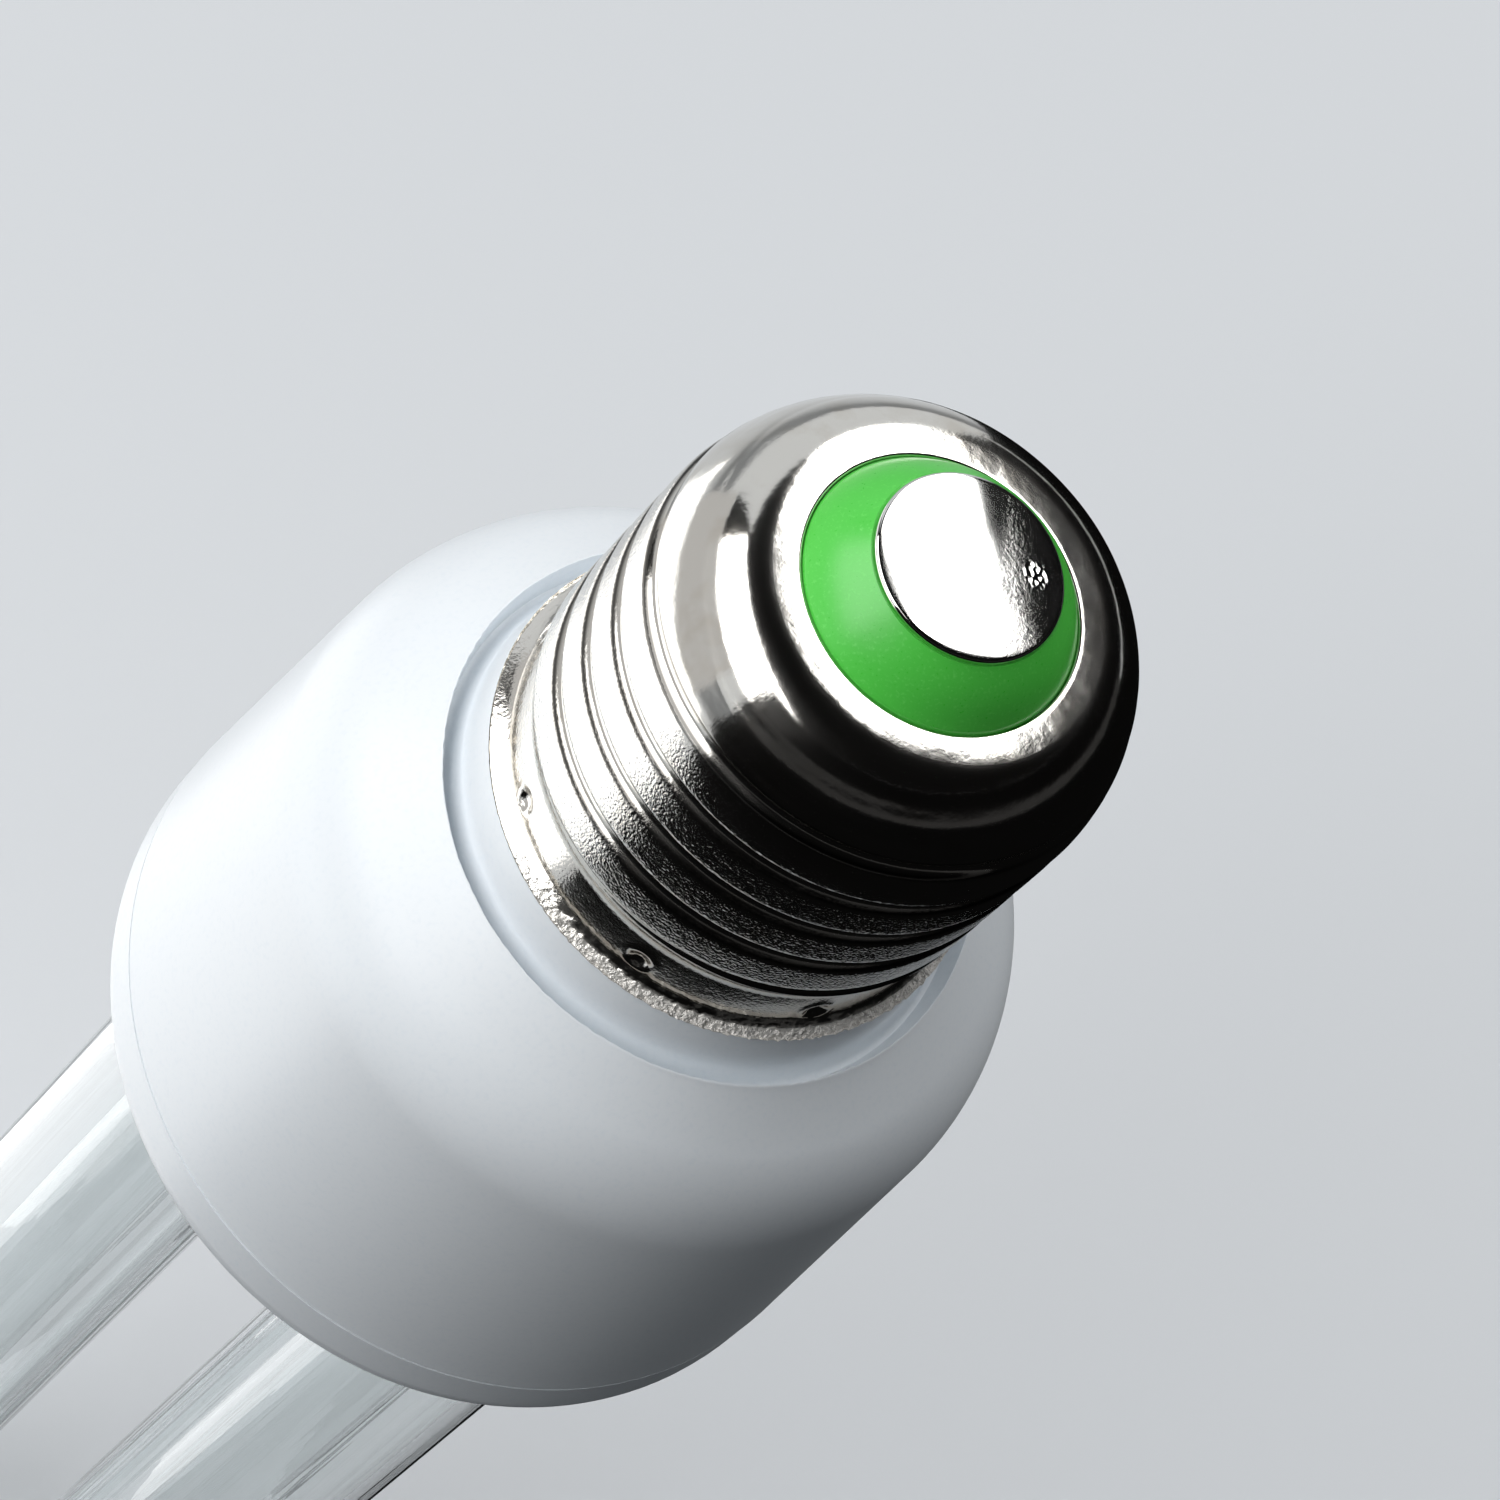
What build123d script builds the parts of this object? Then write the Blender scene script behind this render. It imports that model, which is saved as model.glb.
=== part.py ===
"""Germicidal ultraviolet lamp: screw cap, ballast housing and a clear quartz double U tube.

The frame is that of the lamp hanging in its lampholder: +Z runs up the axis and out of the
centre contact, and the origin is the middle of the contact's face. Every depth below is a
distance down from that face, in millimetres, so a depth of 10 lies at z = -10.
The view of the reference picture comes from the -Y side, looking down on the cap.
"""

from build123d import *

import os
from math import asin, atan2, cos, degrees, hypot, radians, sin

# Screw cap, standard E27 size
thread_pitch = 3.629
thread_crest_r = 13.1
thread_depth = 0.55
groove_floor_half = 0.28
groove_knee_rise = 0.3
groove_knee_half = 0.5
groove_mouth_half = 0.95
groove_start_deg = 50.0
cutter_overrun = 0.2
sheet = 0.3
lip_inner_r = 7.34
lip_bead_r = 0.32
lip_depth = 3.5
nose_round_r = 4.5
first_crest_depth = 9.95
thread_end_depth = 22.6
thread_runout = 0.7
thread_chamfer = 0.2
collar_r = 12.62
flare_depth = 26.3
rim_depth = 27.2
rim_r = 13.65
dimple_count = 8
dimple_ball_r = 0.8
dimple_sink = 0.28
dimple_depth = 25.6
dimple_first_deg = -78.0

# Centre contact and its insulator
contact_r = 5.0
contact_edge_drop = 0.7
contact_crown = 0.15
contact_stem_r = 1.5
contact_bore_r = 0.9
contact_stem_end_depth = 7.4
insulator_top_r = 5.1
insulator_bulge = 0.25
insulator_shoulder_r = 11.0
insulator_shoulder_depth = 4.8
insulator_edge_deg = 30.0
insulator_foot_r = 9.9
insulator_floor_depth = 9.0
insulator_gap = 0.05

# Housing shell
seat_gap = 0.05
neck_clearance = 0.12
neck_top_depth = 9.3
neck_wall = 1.5
shoulder_r = 13.45
moat_inner_r = 13.75
moat_outer_r = 14.6
moat_depth = 30.9
moat_corner = 0.5
mouth_r = 14.9
mouth_depth = 29.9
cone_end_r = 17.9
cone_end_depth = 32.6
dome_end_r = 20.6
dome_end_depth = 38.35
dome_bulge = 0.59
housing_r = 21.5
seam_depth = 58.0
housing_wall = 1.6

# Tube holder, the lower cover
holder_end_depth = 62.8
holder_rim_round = 2.2
holder_rim_land = 1.0
holder_plate = 1.8
holder_dish = 0.5
seam_gap = 0.08
spigot_clearance = 0.1
spigot_wall = 1.3
spigot_tall = 3.4
spigot_room = 0.5
socket_clearance = 0.35
socket_wall = 1.2
socket_tall = 4.2
cement_tall = 3.0
cement_sink = 0.4
board_post_r = 1.5
board_post_circle_r = 15.6
board_peg_r = 0.8
board_peg_proud = 0.4
snap_sink = 0.4
snap_width = 5.0
snap_depth = 56.3
snap_tall = 1.2
snap_lead_in = 0.4
snap_edge = 0.3
snap_ease = 0.2

# Quartz discharge tube: two U bends joined by a bridge
lamp_length = 168.0
tube_r = 6.0
tube_wall = 1.0
leg_pitch = 18.0
leg_top_depth = 58.4
bridge_depth = 71.0
bridge_r = 3.2
bridge_wall = 0.8
pinch_thick = 2.6
pinch_width = 8.4
pinch_tall = 4.6
tip_r = 1.7
tip_wall = 0.6
tip_tall = 4.4

# Electrodes and the mercury amalgam
lead_r = 0.3
lead_half_gap = 1.9
lead_sink = 0.1
filament_depth = 68.4
filament_r = 0.7
filament_tail = 0.5
bead_depth = 64.6
bead_r = 0.95
bead_end = 0.9
amalgam_r = 0.8
amalgam_gap = 0.2

# Ballast board, its pins and its solder
board_r = 17.4
board_thick = 1.2
board_top_depth = 47.0
hole_gap = 0.05
stand_off = 0.1
pin_side = 0.5
pin_tail = 0.9
solder_r = 0.75
solder_tall = 0.6
solder_sides = 8
solder_taper = 25.0

# Parts on the board, at (x, y) places
bulk_place = (-2.5, 4.6)
bulk_r = 5.0
bulk_tall = 19.0
bulk_crimp_depth = 0.4
bulk_crimp_height = 2.0
bulk_pin_gap = 5.0
choke_place = (4.7, -7.2)
core_depth = 5.0
core_length = 10.4
core_tall = 11.0
core_plate = 2.2
core_leg = 1.4
core_centre = 3.0
core_fit = 0.1
bobbin_wall = 0.5
bobbin_flange = 0.6
bobbin_width = 11.6
bobbin_pin_x = 5.0
bobbin_pin_y = 3.0
winding_clear = 0.25
toroid_place = (9.6, 5.0)
toroid_r = 4.4
toroid_bore_r = 2.6
toroid_tall = 3.0
turn_gap = 0.05
turn_step_deg = 18.0
turn_centres_deg = (45.0, 135.0, 315.0)
transistor_places = ((5.2, 13.2), (-7.8, 11.8))
transistor_width = 8.0
transistor_thick = 2.7
transistor_tall = 10.8
transistor_lift = 2.2
transistor_pin_gap = 2.28
transistor_hole_r = 1.5
transistor_hole_drop = 3.6
film_places = ((-6.6, -11.6, 0.0), (13.4, -4.4, 90.0))
film_width = 7.0
film_thick = 3.4
film_tall = 7.4
film_edge = 0.6
film_pin_gap = 5.0
axial_lift = 0.3
rectifier_places = ((-10.4, 4.2), (-13.5, 4.2), (-10.4, -4.2), (-13.5, -4.2))
rectifier_r = 1.25
rectifier_long = 4.8
rectifier_span = 6.4
resistor_places = ((-3.4, -4.9), (-6.3, -4.9))
resistor_r = 0.95
resistor_long = 3.3
resistor_span = 5.4
diac_place = (-2.3, 12.6)
diac_r = 0.85
diac_long = 3.6
diac_span = 5.0

# Fuse resistor and wires in the neck
fuse_place = (6.2, 1.6)
fuse_r = 1.6
fuse_waist = 0.25
fuse_cap_tall = 1.2
fuse_top_depth = 20.0
fuse_tall = 9.0
line_wire_r = 0.6
line_wire_bend_r = 2.0
line_wire_low_depth = 15.5
line_wire_high_depth = 11.5
line_wire_end_depth = 1.0
neutral_wire_r = 0.32
neutral_wire_bend_r = 0.6
neutral_wire_over_depth = 9.75
neutral_wire_end_depth = 13.6
neutral_wire_gap = 0.05
neutral_wire_deg = 65.0
wire_slot_width = 0.9
wire_slot_sink = 0.75
wire_slot_end_depth = 14.0
wire_notch_tall = 1.0

# Values that follow from the sizes above
thread_root_r = thread_crest_r - thread_depth
shell_bore_r = thread_root_r - sheet
nose_centre_r = thread_crest_r - nose_round_r
nose_end_depth = lip_depth + nose_round_r
nose_bore = nose_round_r - sheet
lip_centre_r = lip_inner_r + lip_bead_r
neck_r = shell_bore_r - neck_clearance
neck_bore_r = neck_r - neck_wall
wall_r = housing_r - housing_wall
spigot_r = wall_r - spigot_clearance
spigot_top_depth = seam_depth - spigot_tall
plate_depth = holder_end_depth - holder_dish
socket_r = tube_r + socket_clearance
leg_offset = leg_pitch / 2
tube_bore_r = tube_r - tube_wall
bend_depth = lamp_length - tube_r - leg_offset
electrode_places = ((-leg_offset, -leg_offset), (leg_offset, -leg_offset))
closed_places = ((-leg_offset, leg_offset), (leg_offset, leg_offset))
leg_places = electrode_places + closed_places
tip_top_depth = leg_top_depth - tip_tall
board_under_depth = board_top_depth + board_thick
pin_end_depth = board_under_depth + pin_tail
part_base_depth = board_top_depth - stand_off
quarter_turns = (0, 90, 180, 270)


def at(r, depth):
    """Point of a half section, at radius r and the given depth."""
    return (r, 0, -depth)


def lines_through(*points):
    """Straight lines through points given as (radius, depth)."""
    return Polyline(*[at(r, depth) for r, depth in points])


def bulged(start, end, bulge):
    """Arc between two (radius, depth) points that stands off their chord by the given bulge."""
    run, drop = end[0] - start[0], end[1] - start[1]
    span = hypot(run, drop)
    mid_r = (start[0] + end[0]) / 2 + bulge * drop / span
    mid_depth = (start[1] + end[1]) / 2 - bulge * run / span
    return ThreePointArc(at(*start), at(mid_r, mid_depth), at(*end))


def turned(*lines):
    """Solid of revolution about the lamp's axis, from the lines of a closed half section."""
    return revolve(make_face(Curve() + list(lines)), Axis.Z)


def post(r, top, bottom, place=(0, 0)):
    """Upright cylinder between two depths."""
    x, y = place
    return Pos(x, y, -bottom) * extrude(Circle(r), bottom - top)


def block(width, length, top, bottom, place=(0, 0)):
    """Upright block between two depths."""
    x, y = place
    return Pos(x, y, -bottom) * extrude(Rectangle(width, length), bottom - top)


def bar(side, top, bottom, spot):
    """Square bar between two depths, at a spot (x, y, turn)."""
    x, y, turn = spot
    return Pos(x, y, -bottom) * Rot(0, 0, turn) * extrude(Rectangle(side, side), bottom - top)


def spots(place, offsets, turn=0.0):
    """Pin spots (x, y, turn) in a row through a place, at the given offsets along the turn."""
    x, y = place
    reach_x, reach_y = cos(radians(turn)), sin(radians(turn))
    return [(x + offset * reach_x, y + offset * reach_y, turn) for offset in offsets]


def group(shapes):
    """Separate solids that share one node."""
    return Compound(children=[solid for shape in shapes for solid in shape.solids()])


def save(shape, name):
    """Write one sub-part under its node's name."""
    shape.label = name
    export_step(shape, f"parts/{name}.step")


def thread_cutter():
    """Cutter of the rolled groove, which passes -Y half a pitch above the first crest."""
    knee_r = thread_root_r + groove_knee_rise
    flare = (groove_mouth_half - groove_knee_half) / (thread_crest_r - knee_r)
    outer_half = groove_mouth_half + cutter_overrun * flare
    side = [
        (thread_root_r, groove_floor_half),
        (knee_r, groove_knee_half),
        (thread_crest_r + cutter_overrun, outer_half),
    ]
    outline = [(r, 0, half) for r, half in side] + [(r, 0, -half) for r, half in reversed(side)]
    section = make_face(Polyline(*outline, close=True))
    low_depth = thread_end_depth + thread_pitch / 4
    high_depth = first_crest_depth - thread_pitch * (0.5 - groove_start_deg / 360)
    path = Helix(thread_pitch, low_depth - high_depth, thread_crest_r)
    turns = (low_depth - first_crest_depth) / thread_pitch + 0.5
    return Pos(0, 0, -low_depth) * Rot(0, 0, -90 - 360 * turns) * sweep(section, path=path, is_frenet=True)


def cap_nose():
    """Round nose of the cap, with the curled bead at its lip."""
    turn_in = asin((shell_bore_r - nose_centre_r) / nose_bore)
    bore_start = nose_end_depth - nose_bore * cos(turn_in)
    outside = ThreePointArc(
        at(nose_centre_r, lip_depth),
        at(nose_centre_r + nose_round_r * sin(radians(45)), nose_end_depth - nose_round_r * cos(radians(45))),
        at(thread_crest_r, nose_end_depth),
    )
    inside = ThreePointArc(
        at(shell_bore_r, bore_start),
        at(nose_centre_r + nose_bore * sin(turn_in / 2), nose_end_depth - nose_bore * cos(turn_in / 2)),
        at(nose_centre_r, lip_depth + sheet),
    )
    nose = turned(
        lines_through((lip_centre_r, lip_depth), (nose_centre_r, lip_depth)),
        outside,
        lines_through(
            (thread_crest_r, nose_end_depth), (shell_bore_r, nose_end_depth), (shell_bore_r, bore_start)
        ),
        inside,
        lines_through(
            (nose_centre_r, lip_depth + sheet), (lip_centre_r, lip_depth + sheet), (lip_centre_r, lip_depth)
        ),
    )
    return nose + Pos(0, 0, -lip_depth - sheet / 2) * Torus(lip_centre_r, lip_bead_r)


def cap_collar():
    """Plain collar below the thread, with its flared rim and the dimples that stake it."""
    collar = turned(
        lines_through(
            (shell_bore_r, thread_end_depth),
            (thread_crest_r - thread_chamfer, thread_end_depth),
            (collar_r, thread_end_depth + thread_runout),
            (collar_r, flare_depth),
            (rim_r, rim_depth),
            (rim_r - sheet, rim_depth),
            (collar_r - sheet, flare_depth + sheet / 2),
            (shell_bore_r, flare_depth),
            (shell_bore_r, thread_end_depth),
        )
    )
    reach = collar_r - dimple_sink + dimple_ball_r
    for i in range(dimple_count):
        turn = dimple_first_deg + 360 * i / dimple_count
        collar -= Rot(0, 0, turn) * Pos(reach, 0, -dimple_depth) * Sphere(dimple_ball_r)
    return collar


def screw_shell():
    """Rolled sheet cap: curled lip, round nose, helical thread, collar and flared rim."""
    tube = post(thread_crest_r, nose_end_depth, thread_end_depth)
    tube -= post(shell_bore_r, nose_end_depth, thread_end_depth)
    return (tube - thread_cutter()) + cap_nose() + cap_collar()


def cap_insulator():
    """Moulded ring in the nose: it carries the contact and closes the cap."""
    bore_r = contact_stem_r + insulator_gap
    top_depth = contact_edge_drop + insulator_gap
    lip_r = lip_inner_r - insulator_gap
    under_lip = lip_depth + sheet / 2 + lip_bead_r + insulator_gap
    edge_r = nose_centre_r + (nose_bore - insulator_gap) * cos(radians(insulator_edge_deg))
    edge_depth = nose_end_depth - (nose_bore - insulator_gap) * sin(radians(insulator_edge_deg))
    return turned(
        lines_through(
            (bore_r, insulator_floor_depth), (bore_r, top_depth), (insulator_top_r, top_depth)
        ),
        bulged((insulator_top_r, top_depth), (lip_r, lip_depth), insulator_bulge),
        lines_through(
            (lip_r, lip_depth),
            (lip_r, under_lip),
            (nose_centre_r, under_lip),
            (insulator_shoulder_r, insulator_shoulder_depth),
            (edge_r, edge_depth),
            (insulator_foot_r, insulator_floor_depth),
            (bore_r, insulator_floor_depth),
        ),
    )


def centre_contact():
    """Crowned contact disc with a turned-down edge and a hollow stem for the line wire."""
    flat_r = contact_r - contact_edge_drop
    face = turned(
        lines_through((0, contact_edge_drop), (0, 0), (flat_r, 0)),
        bulged((flat_r, 0), (contact_r, contact_edge_drop), contact_crown),
        lines_through((contact_r, contact_edge_drop), (0, contact_edge_drop)),
    )
    stem = post(contact_stem_r, contact_edge_drop, contact_stem_end_depth)
    return face + stem - post(contact_bore_r, contact_edge_drop, contact_stem_end_depth)


def snap_hook(height, ease):
    """Wedge of a snap hook on the spigot, or with some ease the pocket that takes it."""
    root_r = spigot_r - snap_edge
    tip_at = spigot_r + height
    low = snap_depth + snap_tall / 2 + ease
    high = snap_depth - snap_tall / 2 - ease
    wedge = Polyline(
        at(root_r, high - snap_lead_in),
        at(tip_at, low - snap_edge),
        at(tip_at, low),
        at(root_r, low),
        close=True,
    )
    return extrude(make_face(wedge), snap_width / 2 + ease, both=True)


def upper_housing():
    """Moulded shell: neck inside the cap, moat round it, domed shoulder and long skirt."""
    seat_depth = rim_depth + seat_gap
    under_moat = moat_depth + housing_wall
    shell = turned(
        lines_through(
            (neck_bore_r, neck_top_depth),
            (neck_r, neck_top_depth),
            (neck_r, seat_depth),
            (shoulder_r, seat_depth),
            (moat_inner_r, moat_depth - moat_corner),
            (moat_inner_r + moat_corner, moat_depth),
            (moat_outer_r, moat_depth),
            (mouth_r, mouth_depth),
            (cone_end_r, cone_end_depth),
        ),
        bulged((cone_end_r, cone_end_depth), (dome_end_r, dome_end_depth), dome_bulge),
        lines_through(
            (dome_end_r, dome_end_depth),
            (housing_r, seam_depth),
            (wall_r, seam_depth),
            (wall_r, spigot_top_depth - spigot_room),
            (dome_end_r - housing_wall, dome_end_depth),
            (cone_end_r - housing_wall / 2, cone_end_depth + housing_wall),
            (moat_outer_r, under_moat),
            (neck_bore_r, under_moat),
            (neck_bore_r, neck_top_depth),
        ),
    )
    slot_floor_r = neck_r - wire_slot_sink
    cuts = (
        (slot_floor_r, neck_r + seat_gap, wire_slot_end_depth),
        (neck_bore_r - seat_gap, neck_r + seat_gap, neck_top_depth + wire_notch_tall),
    )
    for inner, outer, end_depth in cuts:
        cut = block(
            outer - inner,
            wire_slot_width,
            neck_top_depth - seat_gap,
            end_depth,
            ((inner + outer) / 2, 0),
        )
        shell -= Rot(0, 0, neutral_wire_deg) * cut
    for turn in quarter_turns:
        shell -= Rot(0, 0, turn) * snap_hook(snap_sink + spigot_clearance, snap_ease)
    return shell


def tube_holder():
    """Lower cover: rounded rim, dished plate with four sockets, spigot, hooks and board posts."""
    end_r = housing_r - holder_rim_round
    rim_start = holder_end_depth - holder_rim_round
    rim_reach = holder_rim_round * cos(radians(45))
    cover = turned(
        lines_through(
            (0, plate_depth - holder_plate),
            (spigot_r - spigot_wall, plate_depth - holder_plate),
            (spigot_r - spigot_wall, spigot_top_depth),
            (spigot_r, spigot_top_depth),
            (spigot_r, seam_depth + seam_gap),
            (housing_r, seam_depth + seam_gap),
            (housing_r, rim_start),
        ),
        ThreePointArc(
            at(housing_r, rim_start),
            at(end_r + rim_reach, rim_start + rim_reach),
            at(end_r, holder_end_depth),
        ),
        lines_through(
            (end_r, holder_end_depth),
            (end_r - holder_rim_land, plate_depth),
            (0, plate_depth),
            (0, plate_depth - holder_plate),
        ),
    )
    for place in leg_places:
        cover += post(socket_r + socket_wall, plate_depth - socket_tall, plate_depth, place)
    for place in leg_places:
        cover -= post(socket_r, plate_depth - socket_tall, holder_end_depth, place)
    for turn in quarter_turns:
        stand = post(board_post_r, board_under_depth + seat_gap, plate_depth - holder_plate / 2)
        peg = post(board_peg_r, board_top_depth - board_peg_proud, board_under_depth + board_post_r)
        cover += Rot(0, 0, turn) * Pos(board_post_circle_r, 0, 0) * (stand + peg)
        cover += Rot(0, 0, turn) * snap_hook(snap_sink, 0)
    return cover


def tube_cement():
    """Rings of cement that fix each leg in its socket."""
    end = plate_depth - cement_sink
    return group(
        post(socket_r, end - cement_tall, end, place) - post(tube_r, end - cement_tall, end, place)
        for place in leg_places
    )


def u_bend(r, x):
    """Half ring that joins the two legs at one side of the lamp."""
    section = Pos(x, leg_offset, -bend_depth) * Circle(r)
    return revolve(section, Axis((x, 0, -bend_depth), (-1, 0, 0)), 180)


def bridge(r):
    """Short cross tube between the two closed legs."""
    start = Pos(-leg_offset, leg_offset, -bridge_depth) * Rot(0, 90, 0)
    return start * extrude(Circle(r), leg_pitch)


def discharge_tube():
    """Clear quartz double U: four legs, two bends, a bridge, two pinches and a sealed tip."""
    bore_top = leg_top_depth + tube_wall
    outside = bridge(bridge_r)
    inside = bridge(bridge_r - bridge_wall)
    for x in (-leg_offset, leg_offset):
        outside += u_bend(tube_r, x)
        inside += u_bend(tube_bore_r, x)
    for place in leg_places:
        outside += post(tube_r, leg_top_depth, bend_depth, place)
        inside += post(tube_bore_r, bore_top, bend_depth, place)
    for x, y in electrode_places:
        outside += block(pinch_width, pinch_thick, leg_top_depth - pinch_tall, leg_top_depth, (x, y))
        for side in (-1, 1):
            lead_place = (x + side * lead_half_gap, y)
            inside += post(lead_r, leg_top_depth - pinch_tall, bore_top, lead_place)
    tip_place = closed_places[1]
    outside += post(tip_r, tip_top_depth, leg_top_depth, tip_place)
    inside += post(tip_r - tip_wall, tip_top_depth + tip_wall, bore_top, tip_place)
    return outside - inside


def mercury_amalgam():
    """Pellet of amalgam that waits in the sealed tip."""
    x, y = closed_places[1]
    depth = tip_top_depth + tip_wall + amalgam_gap + amalgam_r
    return Pos(x, y, -depth) * Sphere(amalgam_r)


def electrode_leads(place):
    """Two lead wires through the pinch, from the board down to the filament."""
    x, y = place
    return group(
        post(
            lead_r,
            board_top_depth + lead_sink,
            filament_depth - filament_r,
            (x + side * lead_half_gap, y),
        )
        for side in (-1, 1)
    )


def electrode_bead(place):
    """Glass bead that ties the two leads together below the pinch."""
    x, y = place
    reach = lead_half_gap + bead_end
    bead = Pos(x - reach, y, -bead_depth) * Rot(0, 90, 0) * extrude(Circle(bead_r), 2 * reach)
    for side in (-1, 1):
        lead_place = (x + side * lead_half_gap, y)
        bead -= post(lead_r, bead_depth - 2 * bead_r, bead_depth + 2 * bead_r, lead_place)
    return bead


def electrode_filament(place):
    """Coated filament across the ends of the two leads, with its clamped tails."""
    x, y = place
    reach = lead_half_gap + lead_r + filament_tail
    start = Pos(x - reach, y, -filament_depth) * Rot(0, 90, 0)
    return start * extrude(Circle(filament_r), 2 * reach)


def with_pins(body, top, pin_spots):
    """Body with square pins that run from a depth inside it down through the board."""
    for spot in pin_spots:
        body += bar(pin_side, top, pin_end_depth, spot)
    return body


def bulk_spots():
    """Pin spots of the bulk capacitor."""
    return spots(bulk_place, (-bulk_pin_gap / 2, bulk_pin_gap / 2))


def bulk_capacitor():
    """Electrolytic can that reaches up into the neck, with the crimp near its foot."""
    crimp = part_base_depth - bulk_crimp_height
    can = turned(
        lines_through(
            (0, part_base_depth - bulk_tall),
            (bulk_r, part_base_depth - bulk_tall),
            (bulk_r, crimp - bulk_crimp_depth),
            (bulk_r - bulk_crimp_depth, crimp),
            (bulk_r, crimp + bulk_crimp_depth),
            (bulk_r, part_base_depth),
            (0, part_base_depth),
            (0, part_base_depth - bulk_tall),
        )
    )
    return with_pins(Pos(*bulk_place, 0) * can, part_base_depth, bulk_spots())


def choke_core():
    """Two ferrite E halves that meet in the middle of the winding."""
    top = part_base_depth - core_tall
    middle = part_base_depth - core_tall / 2
    window = (core_length - core_centre) / 2 - core_leg
    window_y = (core_centre + window) / 2
    x, y = choke_place
    halves = []
    for half_top, half_bottom, window_top, window_bottom in (
        (top, middle, top + core_plate, middle),
        (middle, part_base_depth, middle, part_base_depth - core_plate),
    ):
        half = block(core_depth, core_length, half_top, half_bottom, choke_place)
        for side in (-1, 1):
            half -= block(core_depth, window, window_top, window_bottom, (x, y + side * window_y))
        halves.append(half)
    return group(halves)


def bobbin_sizes():
    """Top and bottom depths of the bobbin, its length, and its tube's hole width and length."""
    top = part_base_depth - core_tall + core_plate + core_fit
    bottom = part_base_depth - core_plate - core_fit
    length = core_length - 2 * core_leg - 2 * core_fit
    return top, bottom, length, core_depth + 2 * core_fit, core_centre + 2 * core_fit


def choke_spots():
    """Pin spots of the bobbin's two rails."""
    x, y = choke_place
    rail = (-bobbin_pin_y, bobbin_pin_y)
    return spots((x - bobbin_pin_x, y), rail, 90.0) + spots((x + bobbin_pin_x, y), rail, 90.0)


def choke_bobbin():
    """Bobbin on the core's middle leg: a tube, two flanges and the pins."""
    top, bottom, length, hole_x, hole_y = bobbin_sizes()
    bobbin = block(hole_x + 2 * bobbin_wall, hole_y + 2 * bobbin_wall, top, bottom, choke_place)
    bobbin += block(bobbin_width, length, top, top + bobbin_flange, choke_place)
    bobbin += block(bobbin_width, length, bottom - bobbin_flange, bottom, choke_place)
    bobbin -= block(hole_x, hole_y, top, bottom, choke_place)
    return with_pins(bobbin, bottom, choke_spots())


def choke_winding():
    """Coil between the bobbin's flanges."""
    top, bottom, length, hole_x, hole_y = bobbin_sizes()
    inner_x, inner_y = hole_x + 2 * bobbin_wall, hole_y + 2 * bobbin_wall
    build_up = length - inner_y - 2 * winding_clear
    coil_top, coil_bottom = top + bobbin_flange, bottom - bobbin_flange
    coil = RectangleRounded(inner_x + build_up, inner_y + build_up, build_up / 2)
    x, y = choke_place
    wound = Pos(x, y, -coil_bottom) * extrude(coil, coil_bottom - coil_top)
    return wound - block(inner_x, inner_y, coil_top, coil_bottom, choke_place)


def toroid_depths():
    """Top and bottom depths of the ferrite ring, which its turns hold off the board."""
    bottom = part_base_depth - pin_side - turn_gap
    return bottom - toroid_tall, bottom


def drive_toroid():
    """Ferrite ring that drives the two transistors."""
    top, bottom = toroid_depths()
    return post(toroid_r, top, bottom, toroid_place) - post(toroid_bore_r, top, bottom, toroid_place)


def toroid_spots():
    """Spots where the first and last turn of each winding go into the board."""
    x, y = toroid_place
    reach = toroid_r + turn_gap + pin_side / 2
    turns = [centre + side * turn_step_deg for centre in turn_centres_deg for side in (-1, 1)]
    return [(x + reach * cos(radians(t)), y + reach * sin(radians(t)), t) for t in turns]


def toroid_windings():
    """Three windings of three turns, each turn a square frame round the ring's section."""
    top, bottom = toroid_depths()
    inner_x = toroid_bore_r - turn_gap
    outer_x = toroid_r + turn_gap
    middle = ((inner_x + outer_x) / 2, 0)
    window = block(outer_x - inner_x, pin_side, top - turn_gap, bottom + turn_gap, middle)
    frame = block(
        outer_x - inner_x + 2 * pin_side,
        pin_side,
        top - turn_gap - pin_side,
        bottom + turn_gap + pin_side,
        middle,
    )
    turn = frame - window
    lead = bar(pin_side, part_base_depth - pin_side, pin_end_depth, (outer_x + pin_side / 2, 0, 0))
    loops = []
    for centre in turn_centres_deg:
        for step, loop in ((-1, turn + lead), (0, turn), (1, turn + lead)):
            loops.append(Pos(*toroid_place, 0) * Rot(0, 0, centre + step * turn_step_deg) * loop)
    return group(loops)


def transistor_turn(place):
    """Angle of a transistor's row of pins, square to its radius on the board."""
    x, y = place
    return degrees(atan2(y, x)) - 90


def transistor_spots(place):
    """Pin spots of one transistor."""
    offsets = (-transistor_pin_gap, 0, transistor_pin_gap)
    return spots(place, offsets, transistor_turn(place))


def transistor(place):
    """Flat power transistor on three pins, with its fixing hole."""
    x, y = place
    bottom = part_base_depth - transistor_lift
    top = bottom - transistor_tall
    hole_depth = top + transistor_hole_drop
    body = block(transistor_width, transistor_thick, top, bottom)
    hole = extrude(Circle(transistor_hole_r), transistor_thick, both=True)
    body -= Pos(0, 0, -hole_depth) * Rot(90, 0, 0) * hole
    body = Pos(x, y, 0) * Rot(0, 0, transistor_turn(place)) * body
    return with_pins(body, bottom, transistor_spots(place))


def film_spots(place):
    """Pin spots of one film capacitor."""
    x, y, turn = place
    return spots((x, y), (-film_pin_gap / 2, film_pin_gap / 2), turn)


def film_capacitor(place):
    """Dipped film capacitor with bevelled upright edges."""
    x, y, turn = place
    body = block(film_width, film_thick, part_base_depth - film_tall, part_base_depth)
    body = chamfer(body.edges().filter_by(Axis.Z), film_edge)
    body = Pos(x, y, 0) * Rot(0, 0, turn) * body
    return with_pins(body, part_base_depth, film_spots(place))


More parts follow.
